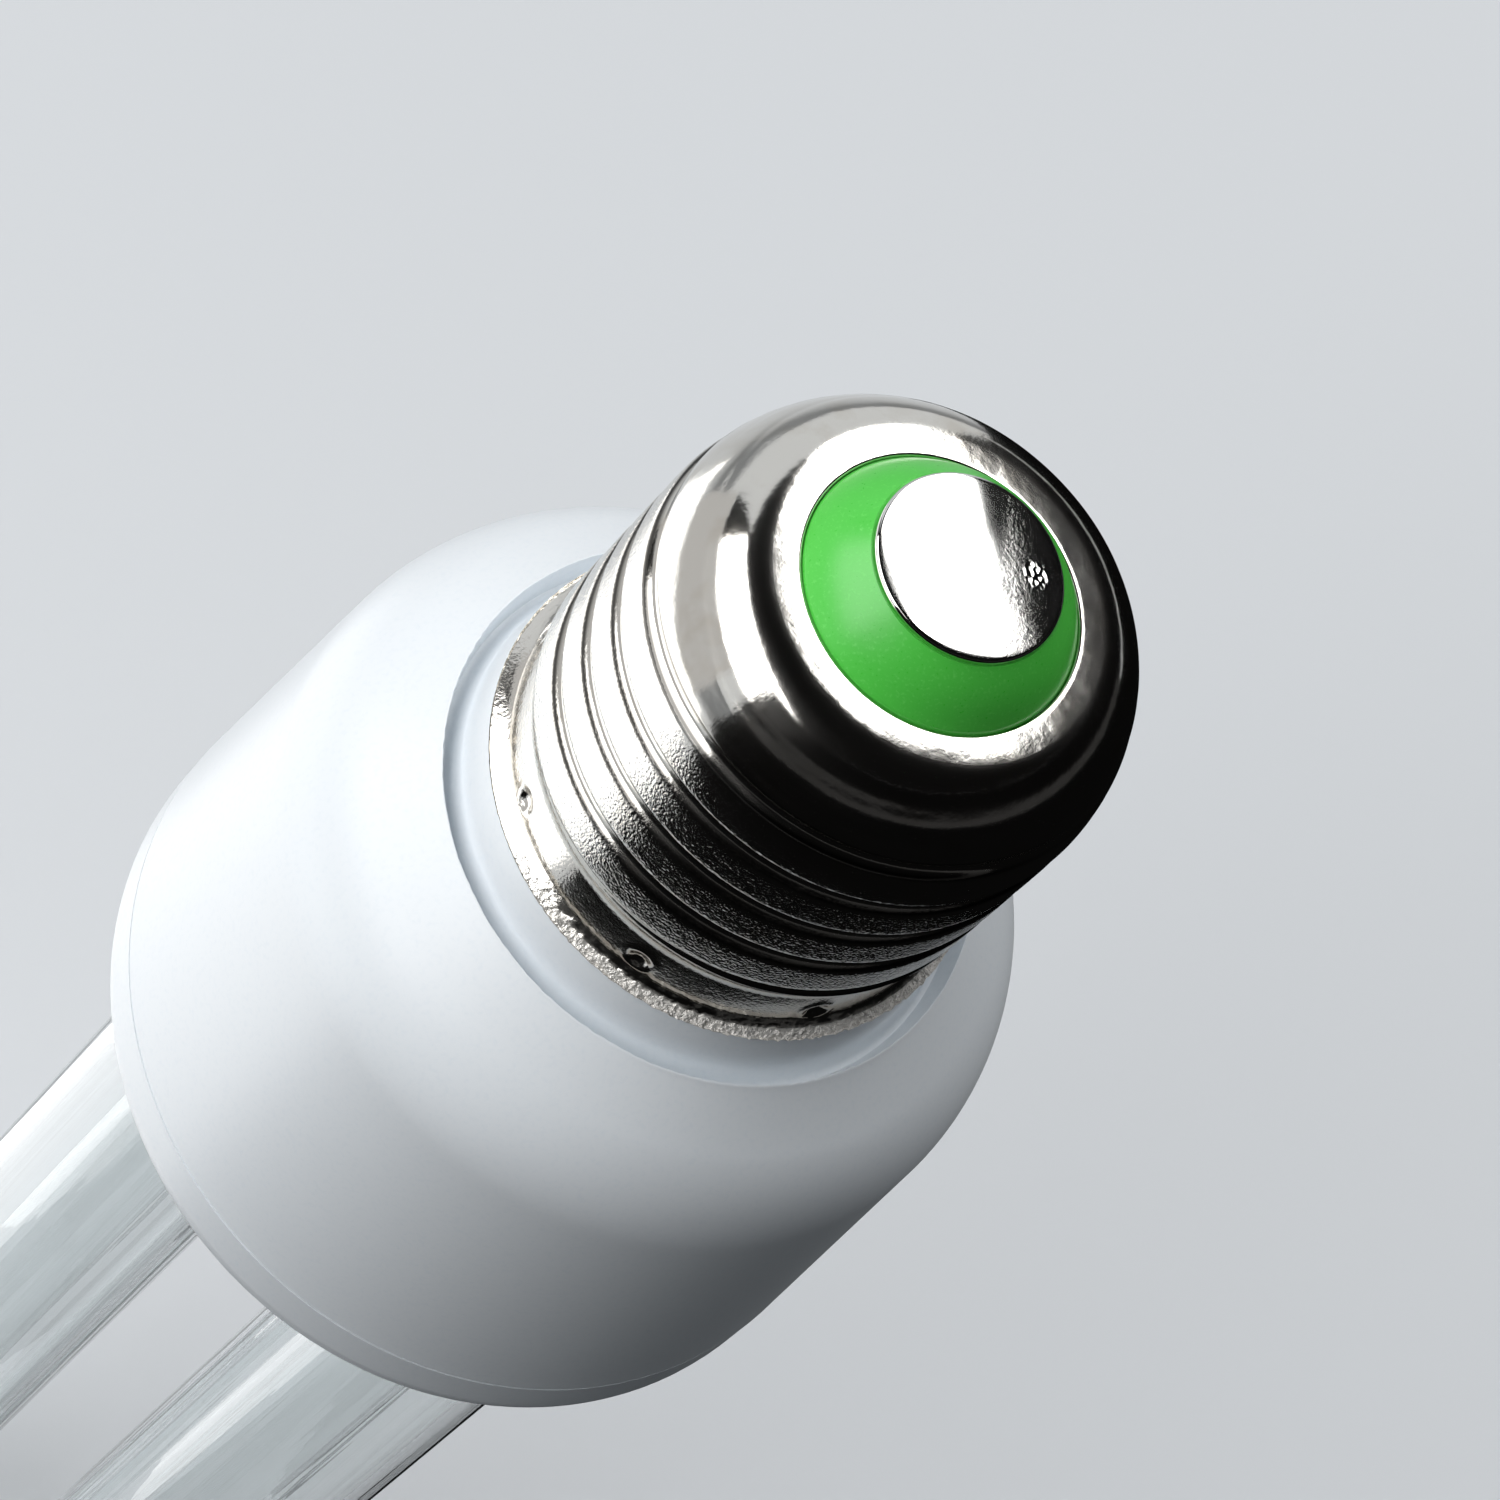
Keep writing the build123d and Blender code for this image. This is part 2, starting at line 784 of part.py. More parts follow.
def axial_spots(place, span):
    """Pin spots of a part that lies along Y on bent leads."""
    return spots(place, (-span / 2, span / 2), 90.0)


def axial_part(place, r, long, span):
    """Round part that lies along Y just above the board, with its bent leads."""
    x, y = place
    axis_depth = part_base_depth - axial_lift - r
    lead_top = axis_depth - pin_side / 2
    body = Pos(x, y, -axis_depth) * Rot(90, 0, 0) * extrude(Circle(r), long / 2, both=True)
    body += block(pin_side, span + pin_side, lead_top, lead_top + pin_side, place)
    return with_pins(body, lead_top, axial_spots(place, span))


def fuse_resistor():
    """Fusible resistor in the neck, with end caps, on a long lead from the board."""
    bottom = fuse_top_depth + fuse_tall
    waist_r = fuse_r - fuse_waist
    body = turned(
        lines_through(
            (0, fuse_top_depth),
            (fuse_r, fuse_top_depth),
            (fuse_r, fuse_top_depth + fuse_cap_tall),
            (waist_r, fuse_top_depth + fuse_cap_tall + fuse_waist),
            (waist_r, bottom - fuse_cap_tall - fuse_waist),
            (fuse_r, bottom - fuse_cap_tall),
            (fuse_r, bottom),
            (0, bottom),
            (0, fuse_top_depth),
        )
    )
    return with_pins(Pos(*fuse_place, 0) * body, bottom, spots(fuse_place, (0,)))


def wire(r, bend_r, *points):
    """Round wire along straight runs joined by tangent arcs."""
    path = FilletPolyline(*points, radius=bend_r)
    return sweep(Plane(origin=path @ 0, z_dir=path % 0) * Circle(r), path=path)


def line_wire():
    """Insulated wire from the fuse resistor up into the contact's stem."""
    x, y = fuse_place
    return wire(
        line_wire_r,
        line_wire_bend_r,
        (x, y, -fuse_top_depth),
        (x, y, -line_wire_low_depth),
        (0, 0, -line_wire_high_depth),
        (0, 0, -line_wire_end_depth),
    )


def neutral_wire_r_inside():
    """Radius at which the neutral wire climbs inside the neck."""
    return neck_bore_r - neutral_wire_gap - neutral_wire_r


def neutral_spot():
    """Place where the neutral wire goes through the board."""
    climb_r = neutral_wire_r_inside()
    return (climb_r * cos(radians(neutral_wire_deg)), climb_r * sin(radians(neutral_wire_deg)))


def neutral_wire():
    """Bare wire up inside the neck, over its edge and down the slot, where the cap pinches it."""
    climb_r = neutral_wire_r_inside()
    slot_r = shell_bore_r - neutral_wire_gap / 2 - neutral_wire_r
    bent = wire(
        neutral_wire_r,
        neutral_wire_bend_r,
        at(climb_r, pin_end_depth),
        at(climb_r, neutral_wire_over_depth),
        at(slot_r, neutral_wire_over_depth),
        at(slot_r, neutral_wire_end_depth),
    )
    return Rot(0, 0, neutral_wire_deg) * bent


def all_pin_spots():
    """Spots of every square pin on the board."""
    found = bulk_spots() + choke_spots() + toroid_spots() + spots(fuse_place, (0,))
    for place in transistor_places:
        found += transistor_spots(place)
    for place in film_places:
        found += film_spots(place)
    for place in rectifier_places:
        found += axial_spots(place, rectifier_span)
    for place in resistor_places:
        found += axial_spots(place, resistor_span)
    return found + axial_spots(diac_place, diac_span)


def all_wire_spots():
    """Radius and place of every round wire that goes through the board."""
    leads = [
        (lead_r, (x + side * lead_half_gap, y)) for x, y in electrode_places for side in (-1, 1)
    ]
    return leads + [(neutral_wire_r, neutral_spot())]


def circuit_board():
    """Round board with a hole for every pin, wire and peg."""
    top, bottom = board_top_depth, board_under_depth
    holes = [bar(pin_side + 2 * hole_gap, top, bottom, spot) for spot in all_pin_spots()]
    holes += [post(r + hole_gap, top, bottom, place) for r, place in all_wire_spots()]
    for turn in quarter_turns:
        peg_hole = post(board_peg_r + hole_gap, top, bottom, (board_post_circle_r, 0))
        holes.append(Rot(0, 0, turn) * peg_hole)
    return post(board_r, top, bottom) - holes


def solder_joint(place, turn, core):
    """Tapered joint on the board's underside, bored for the pin or wire that it holds."""
    start = Pos(*place, -board_under_depth) * Rot(180, 0, turn)
    cone = extrude(RegularPolygon(solder_r, solder_sides), solder_tall, taper=solder_taper)
    return start * (cone - extrude(core, solder_tall))


def solder_joints():
    """Every soldered joint of the board."""
    pin_core = Rectangle(pin_side, pin_side)
    joints = [solder_joint((x, y), -turn, pin_core) for x, y, turn in all_pin_spots()]
    joints += [solder_joint(place, 0, Circle(r)) for r, place in all_wire_spots()]
    return group(joints)


def main():
    """Build every sub-part and write it."""
    os.makedirs("parts", exist_ok=True)
    singles = (
        screw_shell,
        cap_insulator,
        centre_contact,
        upper_housing,
        tube_holder,
        tube_cement,
        discharge_tube,
        mercury_amalgam,
        circuit_board,
        solder_joints,
        bulk_capacitor,
        choke_core,
        choke_bobbin,
        choke_winding,
        drive_toroid,
        toroid_windings,
        fuse_resistor,
        line_wire,
        neutral_wire,
    )
    for make in singles:
        save(make(), make.__name__)
    for i, place in enumerate(electrode_places, 1):
        save(electrode_leads(place), f"electrode_{i}_leads")
        save(electrode_bead(place), f"electrode_{i}_bead")
        save(electrode_filament(place), f"electrode_{i}_filament")
    for i, place in enumerate(transistor_places, 1):
        save(transistor(place), f"transistor_{i}")
    for i, place in enumerate(film_places, 1):
        save(film_capacitor(place), f"film_capacitor_{i}")
    for i, place in enumerate(rectifier_places, 1):
        part = axial_part(place, rectifier_r, rectifier_long, rectifier_span)
        save(part, f"rectifier_diode_{i}")
    for i, place in enumerate(resistor_places, 1):
        part = axial_part(place, resistor_r, resistor_long, resistor_span)
        save(part, f"resistor_{i}")
    save(axial_part(diac_place, diac_r, diac_long, diac_span), "diac")


if __name__ == "__main__":
    main()
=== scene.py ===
"""Looks of the germicidal ultraviolet lamp: rolled screw cap, moulded housing and quartz tube.

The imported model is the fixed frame: +Z runs out of the centre contact, the origin is the middle of
the contact's face, and every depth below is a distance down from that face. Sizes are in
millimetres and become metres only where a mesh, a lamp or a texture is made.
"""

import logging
import math
from dataclasses import dataclass
from enum import Enum
from typing import Optional, Sequence, TypeAlias

import bmesh
import bpy
import numpy as np
from mathutils import Matrix, Vector


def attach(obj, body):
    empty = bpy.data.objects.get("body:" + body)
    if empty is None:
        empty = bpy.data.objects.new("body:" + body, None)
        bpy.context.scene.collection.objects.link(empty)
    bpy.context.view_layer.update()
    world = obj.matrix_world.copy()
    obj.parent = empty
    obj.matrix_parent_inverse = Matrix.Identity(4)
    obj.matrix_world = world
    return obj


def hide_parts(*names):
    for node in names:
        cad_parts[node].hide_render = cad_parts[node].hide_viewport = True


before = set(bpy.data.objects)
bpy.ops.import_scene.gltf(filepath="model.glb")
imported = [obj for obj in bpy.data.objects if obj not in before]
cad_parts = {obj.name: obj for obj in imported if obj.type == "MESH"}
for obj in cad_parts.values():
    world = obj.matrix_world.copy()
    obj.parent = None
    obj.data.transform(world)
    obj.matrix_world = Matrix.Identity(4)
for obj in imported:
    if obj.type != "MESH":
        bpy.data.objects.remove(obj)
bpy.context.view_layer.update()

MM = 0.001
log = logging.getLogger("lamp")

# radius and depth of a ring, each one number or one value for each column
Ring: TypeAlias = tuple[float | np.ndarray, float | np.ndarray]


def linear(code: str) -> tuple[float, float, float, float]:
    """Turn an sRGB hex code into a linear colour.

    Args:
        code: Six hex digits, red first.

    Returns:
        Red, green, blue and an alpha of one, as Blender's sockets take them.
    """
    parts = [int(code[i : i + 2], 16) / 255 for i in (0, 2, 4)]
    channels = [c / 12.92 if c <= 0.04045 else ((c + 0.055) / 1.055) ** 2.4 for c in parts]
    return (channels[0], channels[1], channels[2], 1.0)


def add_node(
    tree: bpy.types.NodeTree, kind: str, inputs: Optional[dict] = None, **settings: object
) -> bpy.types.Node:
    """Add one node to a tree, with its settings and its links.

    Args:
        tree: The tree that gets the node.
        kind: Blender's type name of the node.
        inputs: Input name or number, with a value or with the socket that feeds it.
        settings: Properties of the node itself, such as its operation.

    Returns:
        The new node.
    """
    node = tree.nodes.new(kind)
    for name, value in settings.items():
        setattr(node, name, value)
    for key, value in (inputs or {}).items():
        if isinstance(value, bpy.types.NodeSocket):
            tree.links.new(value, node.inputs[key])
        else:
            node.inputs[key].default_value = value
    return node


def new_material(name: str) -> tuple[bpy.types.Material, bpy.types.NodeTree, bpy.types.Node]:
    """Make a material that holds only its shader.

    Args:
        name: Real material and how its surface was made.

    Returns:
        The material, its tree and its shader.
    """
    material = bpy.data.materials.new(name)
    material.use_nodes = True
    return material, material.node_tree, material.node_tree.nodes["Principled BSDF"]


def per_metre(size: float) -> float:
    """Texture scale that makes features of a size in millimetres."""
    return 1 / (size * MM)


def new_object(name: str, data: bpy.types.ID) -> bpy.types.Object:
    """Make an object and link it to the scene.

    Args:
        name: Name of the object.
        data: Its mesh, lamp or camera.

    Returns:
        The new object.
    """
    thing = bpy.data.objects.new(name, data)
    bpy.context.scene.collection.objects.link(thing)
    return thing


def mesh_piece(name: str, points: np.ndarray, faces: Sequence, crease: float = 40.0) -> bpy.types.Object:
    """Make a smooth-shaded piece that rides on the lamp.

    Args:
        name: Name of the piece.
        points: Vertex places in millimetres, one row each.
        faces: Vertex numbers of each face.
        crease: Angle in degrees above which an edge stays sharp.

    Returns:
        The new object, with doubled vertices merged and faces turned outward.
    """
    mesh = bpy.data.meshes.new(name)
    mesh.from_pydata((np.asarray(points) * MM).tolist(), [], list(faces))
    shape = bmesh.new()
    shape.from_mesh(mesh)
    bmesh.ops.remove_doubles(shape, verts=shape.verts, dist=1e-6)
    bmesh.ops.dissolve_degenerate(shape, edges=shape.edges, dist=1e-7)
    bmesh.ops.recalc_face_normals(shape, faces=shape.faces)
    shape.to_mesh(mesh)
    shape.free()
    mesh.shade_smooth()
    mesh.set_sharp_from_angle(angle=math.radians(crease))
    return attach(new_object(name, mesh), "root")


def ring_faces(rows: int, columns: int, closed: bool) -> list[tuple[int, int, int, int]]:
    """List the quads between neighbouring rows of a grid of rings.

    Args:
        rows: Number of rings.
        columns: Points in each ring, whose last point lies on its first.
        closed: Whether the last ring joins the first.

    Returns:
        Four vertex numbers for each quad.
    """
    quads = []
    for i in range(rows if closed else rows - 1):
        low, high = i * columns, ((i + 1) % rows) * columns
        quads += [(low + j, low + j + 1, high + j + 1, high + j) for j in range(columns - 1)]
    return quads


def rounded(corners: Sequence[tuple[float, float, float]], steps: int = 5) -> list[tuple[float, float]]:
    """Round the corners of a turned outline.

    Args:
        corners: Radius, depth and rounding of each corner, in order.
        steps: Points on each rounding, less one.

    Returns:
        Radius and depth of each point of the outline.
    """
    places = [Vector((r, d)) for r, d, _ in corners]
    outline: list[tuple[float, float]] = []
    for i, (place, corner) in enumerate(zip(places, corners)):
        before, after = places[i - 1], places[(i + 1) % len(places)]
        if corner[2] <= 0:
            outline.append((place.x, place.y))
            continue
        back, on = (before - place), (after - place)
        reach = min(corner[2], back.length * 0.45, on.length * 0.45)
        start, end = place + back.normalized() * reach, place + on.normalized() * reach
        for k in range(steps + 1):
            f = k / steps
            point = start * (1 - f) ** 2 + place * 2 * f * (1 - f) + end * f**2
            outline.append((point.x, point.y))
    return outline


def spun(name: str, rings: Sequence[Ring], columns: int, closed: bool = True) -> bpy.types.Object:
    """Make a turned piece from rings, each of which may waver round the axis.

    Args:
        name: Name of the piece.
        rings: Radius and depth of each ring, in millimetres.
        columns: Divisions round the axis.
        closed: Whether the last ring joins the first.

    Returns:
        The new piece.
    """
    turn = np.linspace(0, 2 * math.pi, columns + 1)
    points = []
    for r, depth in rings:
        points.append(np.stack([-np.sin(turn) * r, -np.cos(turn) * r, -depth + 0 * turn], axis=1))
    return mesh_piece(name, np.concatenate(points), ring_faces(len(rings), columns + 1, closed))


def tube_along(name: str, path: np.ndarray, r: float, sides: int) -> bpy.types.Object:
    """Make a round wire with closed ends along a path.

    Args:
        name: Name of the piece.
        path: Points of its middle line, in millimetres.
        r: Radius of the wire.
        sides: Points round the wire.

    Returns:
        The new piece.
    """
    ahead = np.gradient(path, axis=0)
    ahead /= np.linalg.norm(ahead, axis=1)[:, None]
    side = np.cross(ahead, (1.0, 0.0, 0.0))
    side /= np.linalg.norm(side, axis=1)[:, None]
    up = np.cross(ahead, side)
    turn = np.linspace(0, 2 * math.pi, sides + 1)
    rings = [
        p + r * (np.cos(turn)[:, None] * s + np.sin(turn)[:, None] * u) for p, s, u in zip(path, side, up)
    ]
    rings = [path[0] + 0 * rings[0]] + rings + [path[-1] + 0 * rings[0]]
    return mesh_piece(name, np.concatenate(rings), ring_faces(len(rings), sides + 1, False), 60.0)


def waver(turn: np.ndarray, seed: int, count: int, low: int, high: int) -> np.ndarray:
    """Sum some seeded sine waves round the axis, so that the last value meets the first.

    Args:
        turn: Angles round the axis.
        seed: Number that picks the waves.
        count: How many waves are summed.
        low: Fewest waves round the axis.
        high: Most waves round the axis.

    Returns:
        Values of about one at most, one for each angle.
    """
    pick = np.random.default_rng(seed)
    waves = [
        np.sin(pick.integers(low, high) * turn + pick.uniform(0, 2 * math.pi)) for _ in range(count)
    ]
    return np.sum(waves, axis=0) / math.sqrt(count * 1.5)


def vertex_places(mesh: bpy.types.Mesh) -> np.ndarray:
    """Read where the vertices lie.

    Args:
        mesh: The mesh.

    Returns:
        A row each of x, y and z, in millimetres.
    """
    flat = np.zeros(len(mesh.vertices) * 3)
    mesh.vertices.foreach_get("co", flat)
    return (flat.reshape(-1, 3) / MM).T


def write_marks(mesh: bpy.types.Mesh, **marks: np.ndarray) -> None:
    """Write values into the vertices, which the piece's material reads by name.

    Args:
        mesh: The mesh.
        marks: The value at each vertex, under the name of each mark.
    """
    for name, values in marks.items():
        mesh.attributes.new(name, "FLOAT", "POINT").data.foreach_set("value", values)


class Grain(Enum):
    """How a surface's second tone lies on it, as its pattern's scale along x, y and z."""

    CLOUDY = (1.0, 1.0, 1.0)
    DRAWN_ALONG = (1.0, 1.0, 0.06)
    DRAWN_ROUND = (0.1, 0.1, 1.0)


@dataclass(frozen=True)
class Finish:
    """A two-toned surface with grain, from its tone, gloss and real grain size.

    Attributes:
        name: Real material and how its surface was made.
        base: Main tone, as sRGB hex.
        fleck: Second tone, as sRGB hex.
        grain_mm: Size of the grain.
        roughness: Middle roughness.
        spread: How far the roughness strays from its middle.
        bump_mm: Height of the grain.
        grain: How the grain lies.
        metallic: One for bare metal.
        ior: Refractive index, for what isn't metal.
        see_through: Share of light that passes.
        coat: Weight of a clear coat.
        share: Share of the surface in the main tone.
    """

    name: str
    base: str
    fleck: str
    grain_mm: float
    roughness: float
    spread: float = 0.05
    bump_mm: float = 0.004
    grain: Grain = Grain.CLOUDY
    metallic: float = 0.0
    ior: float = 1.5
    see_through: float = 0.0
    coat: float = 0.0
    share: float = 0.5

    def material(self) -> bpy.types.Material:
        """Build the material once.

        Returns:
            The new material, or the one that is already there.
        """
        if self.name in bpy.data.materials:
            return bpy.data.materials[self.name]
        material, tree, shader = new_material(self.name)
        shader.inputs["Metallic"].default_value = self.metallic
        if not self.metallic:
            shader.inputs["IOR"].default_value = self.ior
        shader.inputs["Transmission Weight"].default_value = self.see_through
        shader.inputs["Coat Weight"].default_value = self.coat
        place = add_node(tree, "ShaderNodeTexCoord").outputs["Object"]
        lie = add_node(tree, "ShaderNodeMapping", {"Vector": place, "Scale": self.grain.value})
        grain = add_node(
            tree,
            "ShaderNodeTexNoise",
            {"Vector": lie.outputs[0], "Scale": per_metre(self.grain_mm), "Detail": 4.0},
        )
        tone = add_node(
            tree,
            "ShaderNodeMapRange",
            {"Value": grain.outputs[0], "From Min": self.share - 0.12, "From Max": self.share + 0.12},
        )
        colour = add_node(
            tree,
            "ShaderNodeMix",
            {0: tone.outputs[0], 6: linear(self.base), 7: linear(self.fleck)},
            data_type="RGBA",
        )
        gloss = add_node(
            tree,
            "ShaderNodeMapRange",
            {
                "Value": grain.outputs[0],
                "From Min": 0.3,
                "From Max": 0.7,
                "To Min": self.roughness - self.spread,
                "To Max": self.roughness + self.spread,
            },
        )
        bump = add_node(
            tree,
            "ShaderNodeBump",
            {"Height": grain.outputs[0], "Strength": 1.0, "Distance": self.bump_mm * MM},
        )
        tree.links.new(colour.outputs[2], shader.inputs["Base Color"])
        tree.links.new(gloss.outputs[0], shader.inputs["Roughness"])
        tree.links.new(bump.outputs[0], shader.inputs["Normal"])
        return material


@dataclass(frozen=True)
class RolledNickel:
    """Nickel-plated brass sheet, rolled into the cap.

    The die polishes the grooves and the nose, which mirror the studio sharply; the crests keep the
    sheet's satin grain, which breaks each reflection into fine grit; painted shade darkens the
    groove's steep walls into a pair of lines, standing in for the dark they mirror, and the sheared
    rim is torn bright and dull. The real grit and tears are too fine to show, so both are drawn coarser.

    Attributes:
        name: Real material and how its surface was made.
        tone: Colour of the plating, as sRGB hex.
        tarnish: Colour of its faint clouds.
        shade: Colour of the painted shade on the groove's walls.
        burr: Colour of the torn edge.
        grit_mm: Grain of the satin.
        cloud_mm: Size of the clouds and of the sheet's ripple.
        streak_mm: Height of the die's streaks round the cap.
        tear_mm: Size of the tears in the rim.
        painted_shade: Share of the painted shade colour in the middle of a line.
        ripple_high_mm: Height of the ripple.
        grit_high_mm: Height of the grit.
        tear_high_mm: Height of the tears.
    """

    name: str = "nickel_plated_brass_rolled"
    tone: str = "D9D6D0"
    tarnish: str = "CFCAC1"
    shade: str = "2B2927"
    burr: str = "E9E6E1"
    grit_mm: float = 0.16
    cloud_mm: float = 2.2
    streak_mm: float = 0.35
    tear_mm: float = 0.4
    painted_shade: float = 0.95
    ripple_high_mm: float = 0.03
    grit_high_mm: float = 0.032
    tear_high_mm: float = 0.5

    def material(self) -> bpy.types.Material:
        """Build the material.

        Returns:
            The new material.
        """
        material, tree, shader = new_material(self.name)
        place = add_node(tree, "ShaderNodeTexCoord").outputs["Object"]
        satin = add_node(tree, "ShaderNodeAttribute", attribute_name="satin").outputs["Fac"]
        torn = add_node(tree, "ShaderNodeAttribute", attribute_name="torn").outputs["Fac"]
        grit = add_node(
            tree,
            "ShaderNodeTexNoise",
            {"Vector": place, "Scale": per_metre(self.grit_mm), "Detail": 1.0, "Roughness": 0.5},
        )
        cloud = add_node(
            tree, "ShaderNodeTexNoise", {"Vector": place, "Scale": per_metre(self.cloud_mm), "Detail": 5.0}
        )
        flat = add_node(tree, "ShaderNodeMapping", {"Vector": place, "Scale": (0.08, 0.08, 1.0)})
        streak = add_node(
            tree,
            "ShaderNodeTexNoise",
            {"Vector": flat.outputs[0], "Scale": per_metre(self.streak_mm), "Detail": 2.0},
        )
        stain = add_node(
            tree, "ShaderNodeMapRange", {"Value": cloud.outputs[0], "From Min": 0.5, "From Max": 0.75}
        )
        colour = add_node(
            tree,
            "ShaderNodeMix",
            {0: stain.outputs[0], 6: linear(self.tone), 7: linear(self.tarnish)},
            data_type="RGBA",
        )
        # painted shade: the groove's walls are darkened in the base colour, standing in for the dark they
        # mirror
        wall = add_node(tree, "ShaderNodeAttribute", attribute_name="wall").outputs["Fac"]
        painted_shade = add_node(tree, "ShaderNodeMath", {0: wall, 1: self.painted_shade}, operation="MULTIPLY")
        lined = add_node(
            tree,
            "ShaderNodeMix",
            {0: painted_shade.outputs[0], 6: colour.outputs[2], 7: linear(self.shade)},
            data_type="RGBA",
        )
        sheared = add_node(
            tree, "ShaderNodeMix", {0: torn, 6: lined.outputs[2], 7: linear(self.burr)}, data_type="RGBA"
        )
        # a torn edge is so rough that it scatters light like a pale paint more than a metal
        dull = add_node(tree, "ShaderNodeMapRange", {"Value": torn, "To Min": 1.0, "To Max": 0.25})
        sheen = add_node(tree, "ShaderNodeMapRange", {"Value": satin, "To Min": 0.12, "To Max": 0.14})
        uneven = add_node(
            tree,
            "ShaderNodeMapRange",
            {"Value": streak.outputs[0], "From Min": 0.3, "From Max": 0.7, "To Min": -0.01, "To Max": 0.02},
        )
        matt = add_node(
            tree, "ShaderNodeMath", {0: torn, 1: 0.35, 2: uneven.outputs[0]}, operation="MULTIPLY_ADD"
        )
        gloss = add_node(
            tree, "ShaderNodeMath", {0: sheen.outputs[0], 1: matt.outputs[0]}, operation="ADD"
        )
        ripple = add_node(
            tree,
            "ShaderNodeBump",
            {"Height": cloud.outputs[0], "Strength": 1.0, "Distance": self.ripple_high_mm * MM},
        )
        depth = add_node(tree, "ShaderNodeMapRange", {"Value": satin, "To Min": 0.03, "To Max": 1.0})
        rough = add_node(
            tree,
            "ShaderNodeBump",
            {
                "Height": grit.outputs[0],
                "Strength": depth.outputs[0],
                "Distance": self.grit_high_mm * MM,
                "Normal": ripple.outputs[0],
            },
        )
        tear = add_node(
            tree,
            "ShaderNodeTexNoise",
            {"Vector": place, "Scale": per_metre(self.tear_mm), "Detail": 3.0, "Roughness": 0.6},
        )
        edge = add_node(
            tree,
            "ShaderNodeBump",
            {
                "Height": tear.outputs[0],
                "Strength": torn,
                "Distance": self.tear_high_mm * MM,
                "Normal": rough.outputs[0],
            },
        )
        tree.links.new(sheared.outputs[2], shader.inputs["Base Color"])
        tree.links.new(dull.outputs[0], shader.inputs["Metallic"])
        tree.links.new(gloss.outputs[0], shader.inputs["Roughness"])
        tree.links.new(edge.outputs[0], shader.inputs["Normal"])
        return material


@dataclass(frozen=True)
class StruckContact:
    """Tinned contact disc, struck from sheet and rubbed by its spring.

    Most of it is a clean mirror; one side is pitted and scuffed, which breaks its dark reflection
    into pale specks. The real pits are too fine to show, so they are drawn coarser.

    Attributes:
        name: Real material and how its surface was made.
        tone: Colour of the tin, as sRGB hex.
        scuffed: Colour of the scuffs.
        pit_mm: Size of the pits.
        dent_mm: Size of the dents in the one dented patch.
        pit_high_mm: Height of the pits.
        dent_high_mm: Height of the dents.
    """

    name: str = "tinned_brass_struck"
    tone: str = "E0DFDC"
    scuffed: str = "6B6864"
    pit_mm: float = 0.22
    dent_mm: float = 0.34
    pit_high_mm: float = 0.009
    dent_high_mm: float = 0.07

    def material(self) -> bpy.types.Material:
        """Build the material.

        Returns:
            The new material.
        """
        material, tree, shader = new_material(self.name)
        shader.inputs["Metallic"].default_value = 1.0
        place = add_node(tree, "ShaderNodeTexCoord").outputs["Object"]
        worn = add_node(tree, "ShaderNodeAttribute", attribute_name="worn").outputs["Fac"]
        pits = add_node(
            tree,
            "ShaderNodeTexNoise",
            {"Vector": place, "Scale": per_metre(self.pit_mm), "Detail": 5.0, "Roughness": 0.65},
        )
        marks = add_node(
            tree, "ShaderNodeMapRange", {"Value": pits.outputs[0], "From Min": 0.58, "From Max": 0.72}
        )
        patch = add_node(tree, "ShaderNodeAttribute", attribute_name="patch").outputs["Fac"]
        amount = add_node(
            tree, "ShaderNodeMath", {0: marks.outputs[0], 1: worn}, operation="MULTIPLY"
        )
        colour = add_node(
            tree,
            "ShaderNodeMix",
            {0: amount.outputs[0], 6: linear(self.tone), 7: linear(self.scuffed)},
            data_type="RGBA",
        )
        gloss = add_node(
            tree, "ShaderNodeMapRange", {"Value": amount.outputs[0], "To Min": 0.06, "To Max": 0.2}
        )
        strength = add_node(tree, "ShaderNodeMapRange", {"Value": worn, "To Min": 0.04, "To Max": 0.6})
        fine = add_node(
            tree,
            "ShaderNodeBump",
            {
                "Height": pits.outputs[0],
                "Strength": strength.outputs[0],
                "Distance": self.pit_high_mm * MM,
            },
        )
        dents = add_node(tree, "ShaderNodeTexVoronoi", {"Vector": place, "Scale": per_metre(self.dent_mm)})
        bump = add_node(
            tree,
            "ShaderNodeBump",
            {
                "Height": dents.outputs["Distance"],
                "Strength": patch,
                "Distance": self.dent_high_mm * MM,
                "Normal": fine.outputs[0],
            },
        )
        tree.links.new(colour.outputs[2], shader.inputs["Base Color"])
        tree.links.new(gloss.outputs[0], shader.inputs["Roughness"])
        tree.links.new(bump.outputs[0], shader.inputs["Normal"])
        return material


